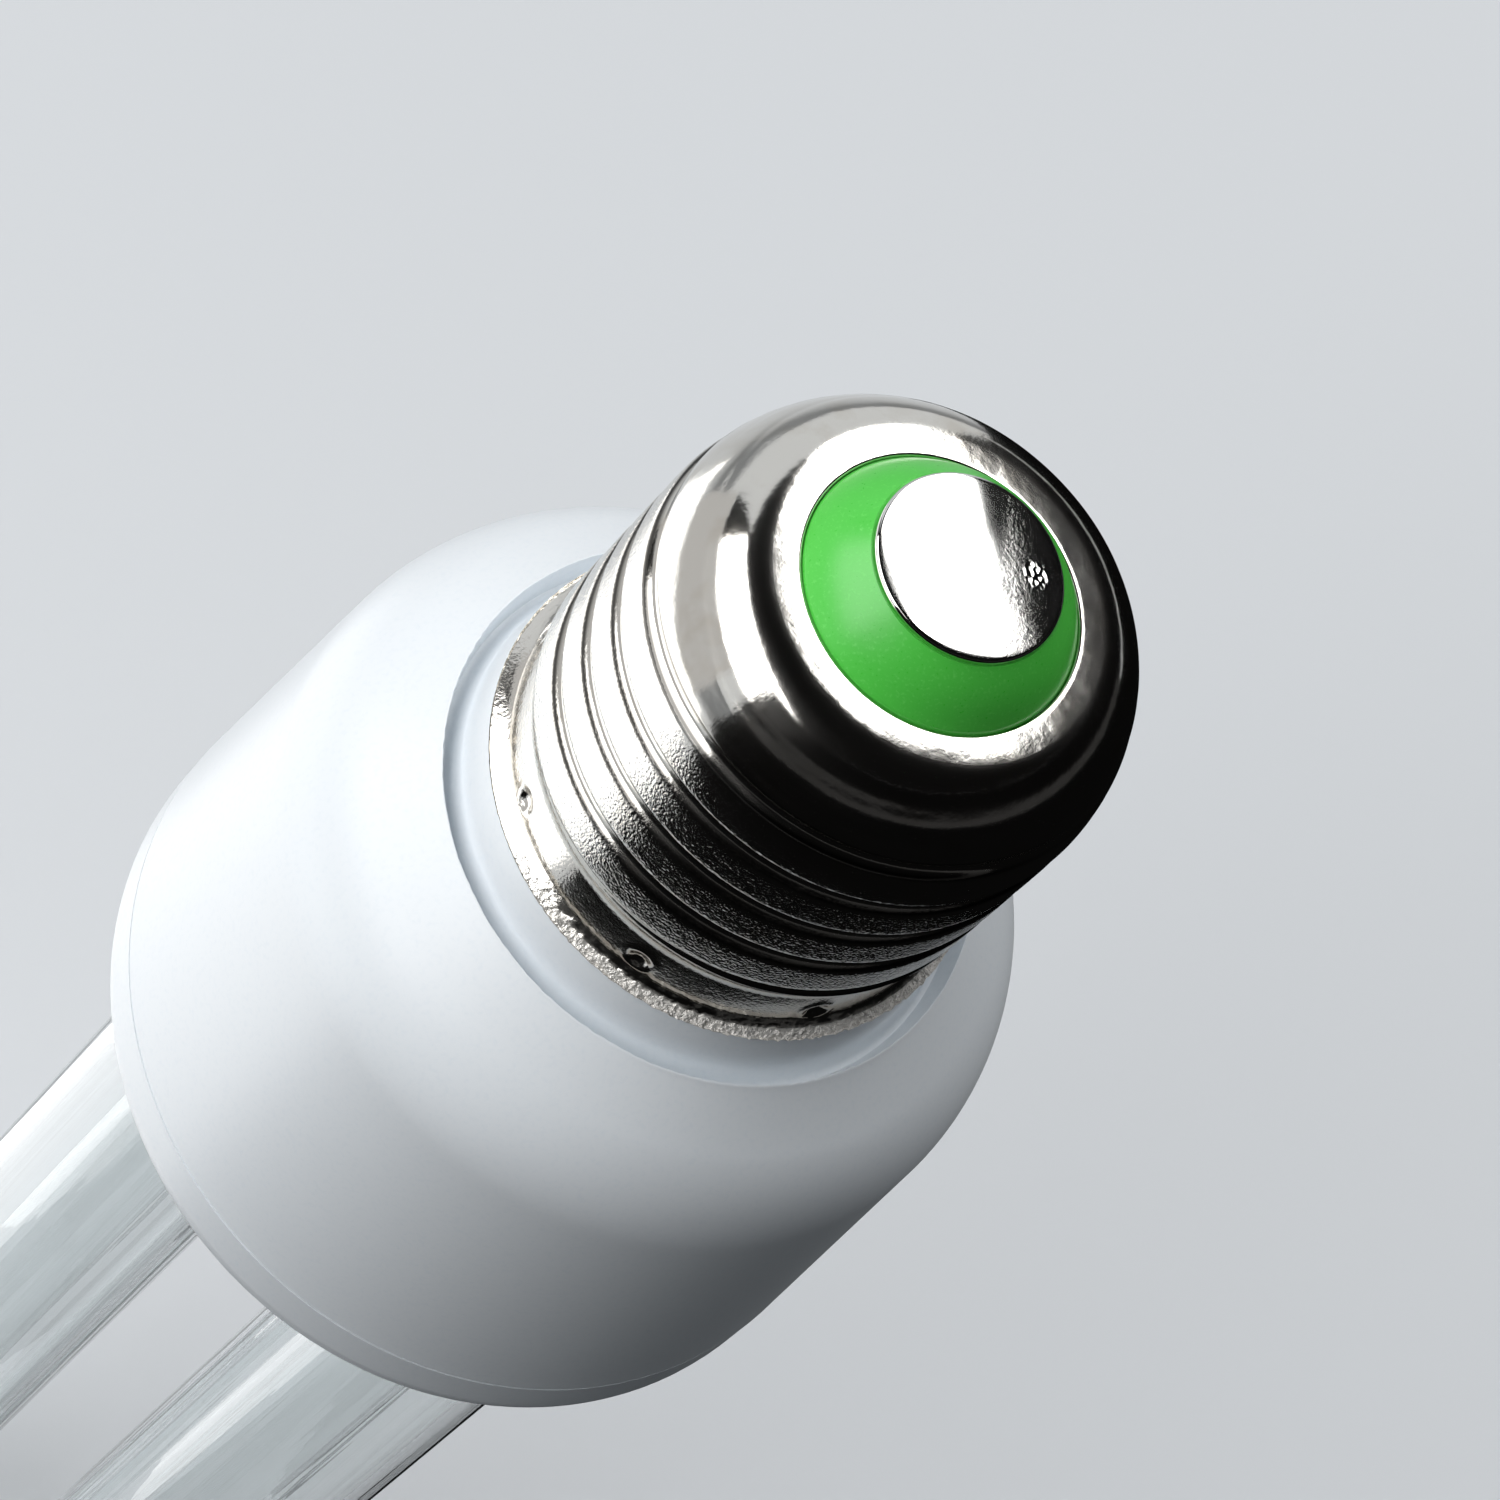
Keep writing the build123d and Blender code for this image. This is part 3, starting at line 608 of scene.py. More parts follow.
@dataclass(frozen=True)
class DrawnQuartz:
    """Fused quartz tube, drawn from the melt.

    It is almost colourless and sharp in reflection, and the draw leaves faint lines along it that
    bend what is seen through the wall.

    Attributes:
        name: Real material and how its surface was made.
        tone: Colour of what passes, as sRGB hex.
        line_mm: Width of the draw lines.
        line_high_mm: Height of the draw lines.
    """

    name: str = "fused_quartz_drawn"
    tone: str = "FBFDFD"
    line_mm: float = 0.9
    line_high_mm: float = 0.03

    def material(self) -> bpy.types.Material:
        """Build the material.

        Returns:
            The new material.
        """
        material, tree, shader = new_material(self.name)
        shader.inputs["Base Color"].default_value = linear(self.tone)
        shader.inputs["Roughness"].default_value = 0.01
        shader.inputs["IOR"].default_value = 1.458
        shader.inputs["Transmission Weight"].default_value = 1.0
        place = add_node(tree, "ShaderNodeTexCoord").outputs["Object"]
        along = add_node(tree, "ShaderNodeMapping", {"Vector": place, "Scale": (1.0, 1.0, 0.012)})
        lines = add_node(
            tree,
            "ShaderNodeTexNoise",
            {"Vector": along.outputs[0], "Scale": per_metre(self.line_mm), "Detail": 2.0},
        )
        bump = add_node(
            tree,
            "ShaderNodeBump",
            {"Height": lines.outputs[0], "Strength": 0.6, "Distance": self.line_high_mm * MM},
        )
        tree.links.new(bump.outputs[0], shader.inputs["Normal"])
        return material


# A pixel of the picture is about 0.05 mm, so grit, filler and drawing lines finer than two pixels
# are drawn at 0.12 to 0.3 mm, as coarse as they need to be to show.

# Flame-retardant PBT, moulded: a cool white with a soft sheen and pinprick specks.
HOUSING_RESIN = Finish(
    "pbt_resin_moulded", base="ECF1F5", fleck="E8EEF3",
    grain_mm=0.3, roughness=0.36, spread=0.03, bump_mm=0.0008, share=0.62,
)
# Phenolic-filled resin, moulded green: dull sheen, with fine pale filler specks.
INSULATOR_RESIN = Finish(
    "green_resin_moulded", base="50CA48", fleck="69D860",
    grain_mm=0.18, roughness=0.33, spread=0.06, bump_mm=0.004, ior=1.55, share=0.68,
)
# Lamp basing cement, cast: matt, chalky and pitted.
BASING_CEMENT = Finish(
    "basing_cement_cast", base="D8D2C4", fleck="BDB5A4",
    grain_mm=0.35, roughness=0.9, spread=0.05, bump_mm=0.06,
)
# Nickel-iron lead wire, drawn: fine lines along it.
LEAD_WIRE = Finish(
    "nickel_iron_wire_drawn", base="BDB8B0", fleck="A59F96",
    grain_mm=0.2, roughness=0.28, spread=0.06, bump_mm=0.003, grain=Grain.DRAWN_ALONG, metallic=1.0,
)
# Lead glass, melted: a glossy bead with a slight cloud.
BEAD_GLASS = Finish(
    "lead_glass_melted", base="E6ECE8", fleck="D5DDD8",
    grain_mm=0.8, roughness=0.06, spread=0.02, bump_mm=0.003, ior=1.56, see_through=0.8,
)
# Emitter carbonates, dipped: a powdery white crust.
EMITTER_COAT = Finish(
    "emitter_carbonate_dipped", base="EEEBE2", fleck="D8D3C6",
    grain_mm=0.12, roughness=0.92, spread=0.04, bump_mm=0.03,
)
# Mercury amalgam, cast: a dull silver pellet.
AMALGAM = Finish(
    "mercury_amalgam_cast", base="B4B6B8", fleck="8F9193",
    grain_mm=0.3, roughness=0.42, spread=0.1, bump_mm=0.03, metallic=1.0,
)
# Phenolic paper laminate, pressed: tan with darker fibres.
PAPER_BOARD = Finish(
    "phenolic_paper_pressed", base="B98C4E", fleck="A4763C",
    grain_mm=0.6, roughness=0.5, spread=0.08, bump_mm=0.004,
)
# Tin solder, flowed: bright and faintly rippled.
SOLDER = Finish(
    "tin_solder_flowed", base="C8C9CA", fleck="A9AAAC",
    grain_mm=0.3, roughness=0.22, spread=0.08, bump_mm=0.01, metallic=1.0,
)
# PVC sleeve, shrunk on: black with a soft gloss.
CAN_SLEEVE = Finish(
    "pvc_sleeve_shrunk", base="17181B", fleck="212227",
    grain_mm=0.9, roughness=0.3, spread=0.05, bump_mm=0.004,
)
# Manganese-zinc ferrite, pressed and sintered: dark grey with a fine sparkle.
FERRITE = Finish(
    "ferrite_sintered", base="3A3B3E", fleck="2B2C2E",
    grain_mm=0.15, roughness=0.55, spread=0.1, bump_mm=0.008,
)
# Nylon bobbin, moulded: cream and slightly waxy.
BOBBIN = Finish(
    "nylon_moulded", base="E4D9BE", fleck="D9CCAD",
    grain_mm=0.7, roughness=0.42, spread=0.05, bump_mm=0.003,
)
# Enamelled copper, wound: warm metal whose turns of 0.25 mm wire ring the coil.
COPPER = Finish(
    "enamelled_copper_wound", base="B8602F", fleck="7E3C1B",
    grain_mm=0.25, roughness=0.26, spread=0.06, bump_mm=0.05, grain=Grain.DRAWN_ROUND, metallic=1.0,
)
# Epoxy compound, transfer moulded: dull black with filler grit.
EPOXY = Finish(
    "epoxy_compound_moulded", base="232426", fleck="2F3033",
    grain_mm=0.12, roughness=0.55, spread=0.06, bump_mm=0.006,
)
# Dipped film capacitor resin: glossy red-brown with slight sags.
DIPPED_RESIN = Finish(
    "epoxy_powder_dipped", base="8E2A1C", fleck="7B2116",
    grain_mm=1.4, roughness=0.2, spread=0.05, bump_mm=0.03, coat=0.4,
)
# Resistor lacquer, sprayed: a pale blue-grey that pits slightly.
LACQUER = Finish(
    "resistor_lacquer_sprayed", base="8FB0B8", fleck="7D9EA7",
    grain_mm=0.4, roughness=0.45, spread=0.06, bump_mm=0.008,
)
# Diode glass, drawn: a small clear bead with an orange tint.
DIAC_GLASS = Finish(
    "tinted_glass_drawn", base="B5502A", fleck="9F4120",
    grain_mm=0.6, roughness=0.08, spread=0.02, bump_mm=0.003, see_through=0.5,
)
# PVC wire cover, extruded: dull white with a slight pull along it.
WIRE_COVER = Finish(
    "pvc_cover_extruded", base="D9D9D4", fleck="C9C9C3",
    grain_mm=0.5, roughness=0.4, spread=0.05, bump_mm=0.004, grain=Grain.DRAWN_ALONG,
)
# Tinned copper wire, drawn: bright grey with fine lines along it.
TINNED_WIRE = Finish(
    "tinned_copper_drawn", base="C9C7C2", fleck="AFACA6",
    grain_mm=0.2, roughness=0.25, spread=0.06, bump_mm=0.003, grain=Grain.DRAWN_ALONG, metallic=1.0,
)


Surface: TypeAlias = Finish | RolledNickel | StruckContact | DrawnQuartz


def dress(finish: Surface, *names: str) -> None:
    """Give a finish to CAD nodes that stay shown.

    Args:
        finish: The finish, whose material is made if it isn't there yet.
        names: The nodes.
    """
    for name in names:
        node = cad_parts[name]
        if not node.material_slots:
            node.data.materials.append(None)
        for slot in node.material_slots:
            slot.material = finish.material()
        log.info("node %s: %s", name, finish.name)


def finish_piece(piece: bpy.types.Object, finish: Surface, slot: str, *nodes: str) -> None:
    """Dress a new piece and let it stand for its CAD nodes.

    Args:
        piece: The new piece.
        finish: Its finish.
        slot: Not used.
        nodes: The CAD nodes that it replaces.
    """
    piece.data.materials.append(finish.material())
    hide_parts(*nodes)
    log.info("piece %s: %d faces, %s", piece.name, len(piece.data.polygons), finish.name)


@dataclass
class ScrewCap:
    """Rolled cap: nose, thread, collar and rim, with its green insulator and contact.

    Radii and depths are in millimetres and angles in radians. Angles run from the -Y side towards
    -X, apart from the first dimple's, which starts at +X.

    Attributes:
        columns: Divisions round the axis.
        first_groove: Depth of the groove's floor on the -Y side, at its first turn.
        groove_half: Half width over which the groove falls to its floor.
        groove_power: How flat the floor is and how steep its walls.
        groove_start: Where the groove begins to sink.
        groove_fade: Turn over which it sinks to its full depth.
        faint_share: Share of the depth that it has before it begins to sink.
        faint_turn: Turn over which that first share comes in.
        line_off: How far from the floor's middle the painted dark line of each wall lies.
        line_half: Half width of that line.
        nose_round: How far the nose's long round reaches inward.
        thread_top: Depth where the rows begin to follow the groove.
        runout: Length over which the thread eases into the collar.
        bore_drop: How far the bore lies inside the crests, clear of the groove's floor.
        taper: How fast the collar widens towards the rim.
        torn_r: Radius beyond which the rim is torn.
        torn_depth: Depth beyond which it is.
        torn_side: Turn that brings the side that is torn most to the front.
        nicked_side: The same for the side with the longest nicks.
        contact_drop: How far the contact's edge lies below its middle.
        worn_across: Direction in which the contact is more and more worn.
        worn_from: How far out in that direction the wear starts.
        patch_at: Middle of the dented patch, from the contact's middle.
    """

    columns: int = 432
    pitch: float = 3.629
    crest_r: float = 13.1
    groove_depth: float = 0.4
    first_groove: float = 8.3
    groove_half: float = 0.46
    groove_power: float = 2.6
    groove_start: float = math.radians(-95)
    groove_fade: float = math.radians(50)
    faint_share: float = 0.16
    faint_turn: float = 3.0
    line_off: float = 0.5
    line_half: float = 0.125
    nose_end: float = 11.0
    thread_top: float = 6.2
    sheet: float = 0.3
    lip_inner_r: float = 7.34
    lip_depth: float = 3.5
    nose_round: float = 4.5
    thread_end: float = 22.6
    runout: float = 0.8
    bore_drop: float = 0.85
    collar_r: float = 12.62
    taper: float = 0.07
    flare_depth: float = 26.3
    rim_depth: float = 27.2
    rim_r: float = 13.65
    torn_r: float = 13.0
    torn_depth: float = 26.5
    torn_side: float = math.radians(72)
    nicked_side: float = math.radians(65)
    dimples: int = 8
    dimple_ball: float = 0.8
    dimple_sink: float = 0.28
    dimple_depth: float = 25.6
    dimple_first: float = math.radians(-78)
    contact_r: float = 5.0
    contact_drop: float = 0.7
    stem_r: float = 1.5
    stem_bore_r: float = 0.9
    stem_end: float = 7.4
    worn_across: tuple[float, float] = (0.76, 0.65)
    worn_from: float = 1.3
    patch_at: tuple[float, float] = (2.43, 2.35)
    insulator_foot: float = 9.0

    def groove(self, turn: np.ndarray, depth: np.ndarray) -> tuple[np.ndarray, np.ndarray]:
        """Shape of the groove at places on the thread, and how deep it is rolled there.

        Args:
            turn: Angle of each column from the -Y side towards -X.
            depth: Depth of each place.

        Returns:
            Zero on a crest and one on the groove's floor, and the share of the full depth.
        """
        along = (depth - self.first_groove) / self.pitch - turn / (2 * math.pi)
        count = np.round(along)
        off = np.abs(along - count) * self.pitch
        wound = turn + 2 * math.pi * count
        rise = np.clip((wound - self.groove_start) / self.groove_fade, 0, 1)
        early = self.faint_share * np.clip((wound - self.groove_start) / self.faint_turn + 1, 0, 1)
        shape = np.exp(-((off / self.groove_half) ** self.groove_power))
        return shape, np.maximum(rise * rise * (3 - 2 * rise), early)

    def thread_rows(self, turn: np.ndarray) -> list[Ring]:
        """Rows that follow the groove, close together where it bends.

        Args:
            turn: Angle of each column.

        Returns:
            Radius and depth of each row.
        """
        half = [0.05, 0.14, 0.22, 0.3, 0.38, 0.46, 0.54, 0.62, 0.7, 0.8, 0.95, 1.2, 1.5]
        offsets = [-u for u in reversed(half)] + half
        rows = []
        for count in range(-1, 5):
            for offset in offsets:
                depth = self.first_groove + self.pitch * (count + turn / (2 * math.pi)) + offset
                depth = np.clip(depth, self.thread_top, self.thread_end)
                rows.append((self.outside_r(turn, depth), depth))
        return rows

    def nose_r(self, depth: np.ndarray) -> np.ndarray:
        """Find the radius of the nose's long round, or the crest's below it.

        Args:
            depth: Depth of each place.

        Returns:
            The radius there.
        """
        start = self.crest_r - self.nose_round
        tall = self.nose_end - self.lip_depth
        angle = np.arccos(np.clip(1 - (depth - self.lip_depth) / tall, 0, 1))
        return start + self.nose_round * np.sin(angle)

    def run_in(self, turn: np.ndarray, depth: np.ndarray) -> np.ndarray:
        """Lay the shallow valleys where the rolled thread runs out on the nose.

        Args:
            turn: Angle of each column.
            depth: Depth of each place.

        Returns:
            Their depth there, where one is the deepest of the near side.
        """
        side = (turn + math.pi) % (2 * math.pi) - math.pi
        # two valleys slant across the near side
        first = 7.2 - 1.55 * np.abs(side)
        second = 5.7 - 0.9 * np.abs(side - 0.3)
        near = np.exp(-(((side - 0.1) / 1.5) ** 4))
        dip = np.exp(-(((depth - first) / 0.38) ** 2)) + 0.6 * np.exp(-(((depth - second) / 0.3) ** 2))
        # four fine lines run round the far side
        far = 1 - np.exp(-(((side + 0.2) / 1.6) ** 6))
        lines = 0 * depth
        for at, wide, deep in ((5.15, 0.16, 0.5), (6.5, 0.14, 0.6), (7.5, 0.16, 0.8), (8.4, 0.14, 0.6)):
            at = at + 0.2 * np.sin(side + at)
            lines = lines + deep * np.exp(-(((depth - at) / wide) ** 2))
        return dip * near + lines * far

    def outside_r(self, turn: np.ndarray, depth: np.ndarray) -> np.ndarray:
        """Find the radius of the outside of nose and thread, groove and all.

        Args:
            turn: Angle of each column.
            depth: Depth of each place.

        Returns:
            The radius there.
        """
        wave = 0.012 * waver(turn, 7, 6, 2, 9) * np.exp(-(((depth - 6.0) / 2.0) ** 2))
        plain = self.nose_r(depth) - 0.012 + wave - 0.05 * self.run_in(turn, depth)
        shape, rolled = self.groove(turn, depth)
        return plain - self.groove_depth * shape * rolled

    def nose_rows(self, turn: np.ndarray) -> list[Ring]:
        """Rows of the curled lip, the flat ring round it and the rounded nose.

        Args:
            turn: Angle of each column.

        Returns:
            Radius and depth of each row.
        """
        start_r = self.crest_r - self.nose_round
        lip, top = self.lip_inner_r, self.lip_depth
        rows = [(lip + 0.25, top + 0.45), (lip + 0.05, top + 0.42), (lip, top + 0.3), (lip, top + 0.1)]
        rows += [(lip + 0.02, top), (lip + 0.06, top - 0.05), (lip + 0.12, top - 0.07)]
        for r in np.linspace(lip + 0.22, start_r + 0.23, 10):
            off = r - lip - 0.22
            rows.append((r, top - 0.077 + 0.05 * off + 0.0148 * off * off))
        first = top + 0.013
        for step in np.linspace(0, 1, 30) ** 1.6:
            depth = first + (self.thread_top - first) * step + 0 * turn
            rows.append((self.outside_r(turn, depth), depth))
        return rows

    def collar_rows(self, turn: np.ndarray) -> list[Ring]:
        """Rows of the collar with its punched dimples, and of the flared, torn rim.

        Args:
            turn: Angle of each column.

        Returns:
            Radius and depth of each row.
        """
        rows = []
        for step in np.linspace(0.12, 1, 7):
            depth = self.thread_end + self.runout * step
            ease = step * step * (3 - 2 * step)
            top = self.outside_r(turn, depth + 0 * turn)
            rows.append((top * (1 - ease) + self.collar_r * ease, depth))
        low, high = self.dimple_depth - 0.75, self.dimple_depth + 0.69
        plain = list(np.linspace(self.thread_end + self.runout + 0.35, low - 0.1, 4))
        for depth in plain + list(np.linspace(low, high, 14)):
            r = self.collar_r + self.taper * (depth - 25.0) + 0.01 * waver(turn, 23, 6, 2, 12)
            rows.append((r - self.dimple_cut(turn, depth), depth))
        torn = 0.5 * waver(turn, 31, 14, 60, 190) + 0.5 * waver(turn, 37, 10, 110, 260)
        torn = torn * (0.25 + 0.75 * np.clip(np.cos(turn + self.nicked_side) + 0.2, 0, 1))
        weight = self.torn_share(turn)
        pick = np.random.default_rng(41)
        for share in (0.15, 0.3, 0.42, 0.52, 0.61, 0.7, 0.79, 0.88, 0.96):
            depth = self.flare_depth + (self.rim_depth - self.flare_depth) * share
            r = self.collar_r + (self.rim_r - 0.12 - self.collar_r) * share**1.25
            chips = pick.normal(0, 1, self.columns)
            chips = np.append(chips, chips[0]) * weight * np.clip((share - 0.35) / 0.1, 0, 1)
            rows.append((r + 0.04 * share * torn + 0.02 * chips, depth - 0.05 * chips))
        rows.append((self.rim_r - 0.08 + 0.07 * torn, self.rim_depth - 0.1 + 0.06 * torn))
        rows.append((self.rim_r - 0.1 + 0.07 * torn, self.rim_depth - 0.02))
        return rows

    def torn_share(self, turn: np.ndarray) -> np.ndarray:
        """Share of the full tearing round the rim, most on one side and a little on the other."""
        return 0.08 + 0.92 * np.clip(np.cos(turn + self.torn_side) + 0.25, 0, 1)

    def dimple_cut(self, turn: np.ndarray, depth: float) -> np.ndarray:
        """Find how deep the punched dimples cut the collar.

        Args:
            turn: Angle of each column.
            depth: Depth of the row.

        Returns:
            How far each place lies inside the collar, or outside it where a dimple's lip is raised.
        """
        cut = 0 * turn
        centre = self.dimple_ball - self.dimple_sink
        for i in range(self.dimples):
            at = self.dimple_first + 2 * math.pi * i / self.dimples
            # the columns start at -Y and turn towards -X, the dimples' angles start at +X
            off = (-math.pi / 2 - turn - at + math.pi) % (2 * math.pi) - math.pi
            span = np.hypot(off * self.collar_r, depth - self.dimple_depth)
            ball = np.sqrt(np.clip(self.dimple_ball**2 - span**2, 0, None)) - centre
            raised = 0.05 * np.exp(-(((span - 0.78) / 0.16) ** 2))
            cut = cut + np.clip(ball, 0, None) - raised
        return cut

    def build_shell(self) -> None:
        """Build the shell as one closed skin, from the bore round the lip to the rim."""
        turn = np.linspace(0, 2 * math.pi, self.columns + 1)
        bore = self.crest_r - self.bore_drop
        rows = [(self.rim_r - self.sheet - 0.05, self.rim_depth), (self.collar_r - self.sheet, 26.5)]
        rows += [(bore, depth) for depth in np.linspace(26.2, 10.0, 8)]
        for depth in np.linspace(9.0, 4.4, 12):
            rows.append((min(bore, float(self.nose_r(depth)) - 1.2 * self.sheet), depth))
        rows.append((8.3, self.lip_depth + self.sheet))
        rows += self.nose_rows(turn) + self.thread_rows(turn) + self.collar_rows(turn)
        shell = spun("cap_shell_rolled", rows, self.columns)
        self.mark(shell)
        finish_piece(shell, RolledNickel(), "cap_metal", "screw_shell")

    def mark(self, shell: bpy.types.Object) -> None:
        """Mark where the shell is satin, where it is torn and where the groove's walls get painted shade.

        Args:
            shell: The finished shell.
        """
        x, y, z = vertex_places(shell.data)
        r, depth = np.hypot(x, y), -z
        turn = np.arctan2(-x, -y)
        shape, rolled = self.groove(turn, depth)
        on_thread = np.clip((depth - 9.0) / 1.2, 0, 1) * np.clip((22.9 - depth) / 0.3, 0, 1)
        crest = np.clip(1 - 1.6 * shape * rolled, 0, 1)
        collar = np.clip((depth - 22.7) / 0.4, 0, 1)
        satin = np.maximum(on_thread * crest, 0.22 * collar)
        between = (r > 12.3) * (depth > self.thread_top) * (depth < self.thread_end + 0.4)
        # the groove's formula turned round, for the distance from the middle of its floor
        off = self.groove_half * (-np.log(np.clip(shape, 1e-9, 1))) ** (1 / self.groove_power)
        # painted shade: a dark line on each of the groove's walls, standing in for the dark they mirror
        wall = np.exp(-(((off - self.line_off) / self.line_half) ** 2)) * rolled * between
        torn = np.clip((r - self.torn_r) / 0.1, 0, 1) * (depth > self.torn_depth) * self.torn_share(turn)
        write_marks(shell.data, satin=satin, torn=torn, wall=wall)

    def build_insulator(self) -> None:
        """Build the green ring between the contact and the lip."""
        lip_r, bore = self.lip_inner_r - 0.05, self.stem_r + 0.05
        inner_r, inner_depth, seat = self.contact_r + 0.1, 0.62, self.contact_drop + 0.05
        cone = []
        for f in np.linspace(0, 1, 16):
            r = inner_r + (lip_r - inner_r) * f
            swell = math.sin(math.pi * f)
            fall = (self.lip_depth - inner_depth) * f
            cone.append((r + 0.16 * swell, inner_depth + fall - 0.12 * swell))
        rings = rounded(
            [
                (bore, self.insulator_foot, 0),
                (bore, seat, 0),
                (self.contact_r - 0.1, seat, 0),
                (self.contact_r, inner_depth, 0.05),
            ]
        )
        rings += cone + [(lip_r, 4.17), (8.6, 4.17), (10.2, 4.9), (11.1, 6.2), (9.9, self.insulator_foot)]
        ring = spun("cap_insulator_moulded", rings, 192)
        finish_piece(ring, INSULATOR_RESIN, "cap_insulator", "cap_insulator")

    def build_contact(self) -> None:
        """Build the contact disc, slightly crowned and uneven, with its stem."""
        columns = 160
        turn = np.linspace(0, 2 * math.pi, columns + 1)
        edge = self.contact_r - 0.2
        rings = []
        for share in np.linspace(0, 1, 30):
            uneven = 0.016 * share**2 * waver(turn, 43, 4, 1, 4)
            uneven = uneven + 0.006 * share * waver(turn, 50, 4, 3, 9)
            rings.append((edge * share, 0.03 + 0.2 * share**2 + uneven))
        # the rounded edge starts from the crown's own uneven edge
        rim = rings[-1][1]
        for angle in np.radians(np.linspace(12, 90, 9)):
            rings.append((edge + 0.18 * math.sin(angle), rim + 0.19 * (1 - math.cos(angle))))
        under, inside = self.contact_drop, self.contact_drop + 0.05
        rings += [(self.contact_r - 0.02, under), (self.stem_r, under), (self.stem_r, self.stem_end)]
        rings += [(self.stem_bore_r, self.stem_end), (self.stem_bore_r, inside), (0, inside)]
        disc = spun("centre_contact_struck", rings, columns, closed=False)
        self.mark_contact(disc)
        finish_piece(disc, StruckContact(), "contact_metal", "centre_contact")

    def mark_contact(self, disc: bpy.types.Object) -> None:
        """Mark where the contact is worn, and the one patch where it is dented.

        Args:
            disc: The finished contact.
        """
        x, y, _ = vertex_places(disc.data)
        across = self.worn_across[0] * x + self.worn_across[1] * y
        worn = np.clip((across - self.worn_from) / 0.8, 0, 1)
        patch = np.clip((0.8 - np.hypot(x - self.patch_at[0], y - self.patch_at[1])) / 0.6, 0, 1)
        write_marks(disc.data, worn=worn, patch=patch)

    def build(self) -> None:
        """Build the whole cap."""
        self.build_shell()
        self.build_insulator()
        self.build_contact()


@dataclass
class Housing:
    """Moulded ballast housing: the domed upper shell and the cover that holds the tube.

    Radii and depths are in millimetres.

    Attributes:
        columns: Divisions round the axis.
        neck_r: Outside of the neck that fills the cap.
        seat: Depth of the step on which the cap's rim stands.
        shoulder_r: Outside of that step.
        moat_inner: Foot of the step, where the moat begins.
        mouth_r: The moat's outer edge, slightly burred.
        cone_r: Where the flat cone ends and the dome begins.
        dome_r: Where the dome ends and the skirt begins.
        bulge: How far the dome's arc stands off its chord.
        outer_r: The skirt at the seam.
        seam: Depth where the cover begins.
        wall: Thickness of the skirt.
        wall_end: Depth where the skirt's inside begins to slant.
        neck_foot_r: Where the underside of the moat's floor meets the inside of the cone.
        neck_foot: Depth of that underside.
    """

    columns: int = 384
    neck_r: float = 12.13
    neck_wall: float = 1.5
    neck_top: float = 9.3
    seat: float = 27.25
    shoulder_r: float = 13.45
    moat_inner: float = 13.75
    moat_outer: float = 14.72
    moat_depth: float = 31.5
    mouth_r: float = 14.9
    mouth_depth: float = 29.9
    cone_r: float = 17.9
    cone_depth: float = 32.6
    dome_r: float = 20.6
    dome_depth: float = 38.35
    bulge: float = 0.59
    outer_r: float = 21.5
    seam: float = 58.0
    wall: float = 1.6
    wall_end: float = 54.1
    neck_foot_r: float = 14.6
    neck_foot: float = 32.5

    def dome(self) -> list[Ring]:
        """Draw the dome's arc, from the cone to the skirt.

        Returns:
            Radius and depth of each of its rings.
        """
        run, drop = self.dome_r - self.cone_r, self.dome_depth - self.cone_depth
        span = math.hypot(run, drop)
        points = []
        for f in np.linspace(0, 1, 26):
            lift = self.bulge * 4 * f * (1 - f)
            r = self.cone_r + run * f + lift * drop / span
            points.append((r, self.cone_depth + drop * f - lift * run / span))
        return points

    def neck_and_moat(self) -> list[Ring]:
        """Draw the neck, the step that the cap's rim stands on and the moat.

        Returns:
            Radius and depth of each ring, from the neck's bore to the moat's outer corner.
        """
        bore = self.neck_r - self.neck_wall
        return rounded(
            [
                (bore, self.neck_foot, 0),
                (bore, self.neck_top, 0.2),
                (self.neck_r, self.neck_top, 0.2),
                (self.neck_r, self.seat, 0),
                (self.shoulder_r, self.seat, 0.12),
                (self.moat_inner, self.moat_depth - 0.9, 0.5),
                (self.moat_inner + 0.45, self.moat_depth, 0.2),
                (self.moat_outer, self.moat_depth, 0.25),
            ]
        )

    def mouth(self) -> list[Ring]:
        """Draw the moat's sharp outer edge, which the mould has left slightly burred.

        Returns:
            Radius and depth of each ring.
        """
        turn = np.linspace(0, 2 * math.pi, self.columns + 1)
        burr = 0.6 * waver(turn, 61, 12, 40, 150) + 0.5 * waver(turn, 67, 8, 5, 30)
        steps = ((-0.03, 0.1, 0.4), (0.0, 0.0, 1.0), (0.06, 0.02, 1.0), (0.12, 0.09, 0.2))
        return [
            (self.mouth_r + out + 0.03 * share * burr, self.mouth_depth + down + 0.02 * share * burr)
            for out, down, share in steps
        ]

    def build(self) -> None:
        """Build the upper shell as one closed skin, and dress the cover below it."""
        rings = self.neck_and_moat() + self.mouth()
        for f in np.linspace(0.12, 0.95, 7):
            r = self.mouth_r + (self.cone_r - self.mouth_r) * f
            rings.append((r, self.mouth_depth + (self.cone_depth - self.mouth_depth) * f))
        rings += self.dome()
        for f in np.linspace(0.04, 0.99, 16):
            r = self.dome_r + (self.outer_r - self.dome_r) * f
            rings.append((r, self.dome_depth + (self.seam - self.dome_depth) * f))
        rings += [
            (self.outer_r, self.seam - 0.12),
            (self.outer_r - 0.1, self.seam),
            (self.outer_r - self.wall, self.seam),
            (self.outer_r - self.wall, self.wall_end),
            (self.dome_r - self.wall, self.dome_depth),
            (self.cone_r - self.wall / 2, self.cone_depth + self.wall),
            (self.neck_foot_r, self.neck_foot),
        ]
        shell = spun("housing_shell_moulded", rings, self.columns)
        finish_piece(shell, HOUSING_RESIN, "housing", "upper_housing")
        dress(HOUSING_RESIN, "tube_holder")
        dress(BASING_CEMENT, "tube_cement")


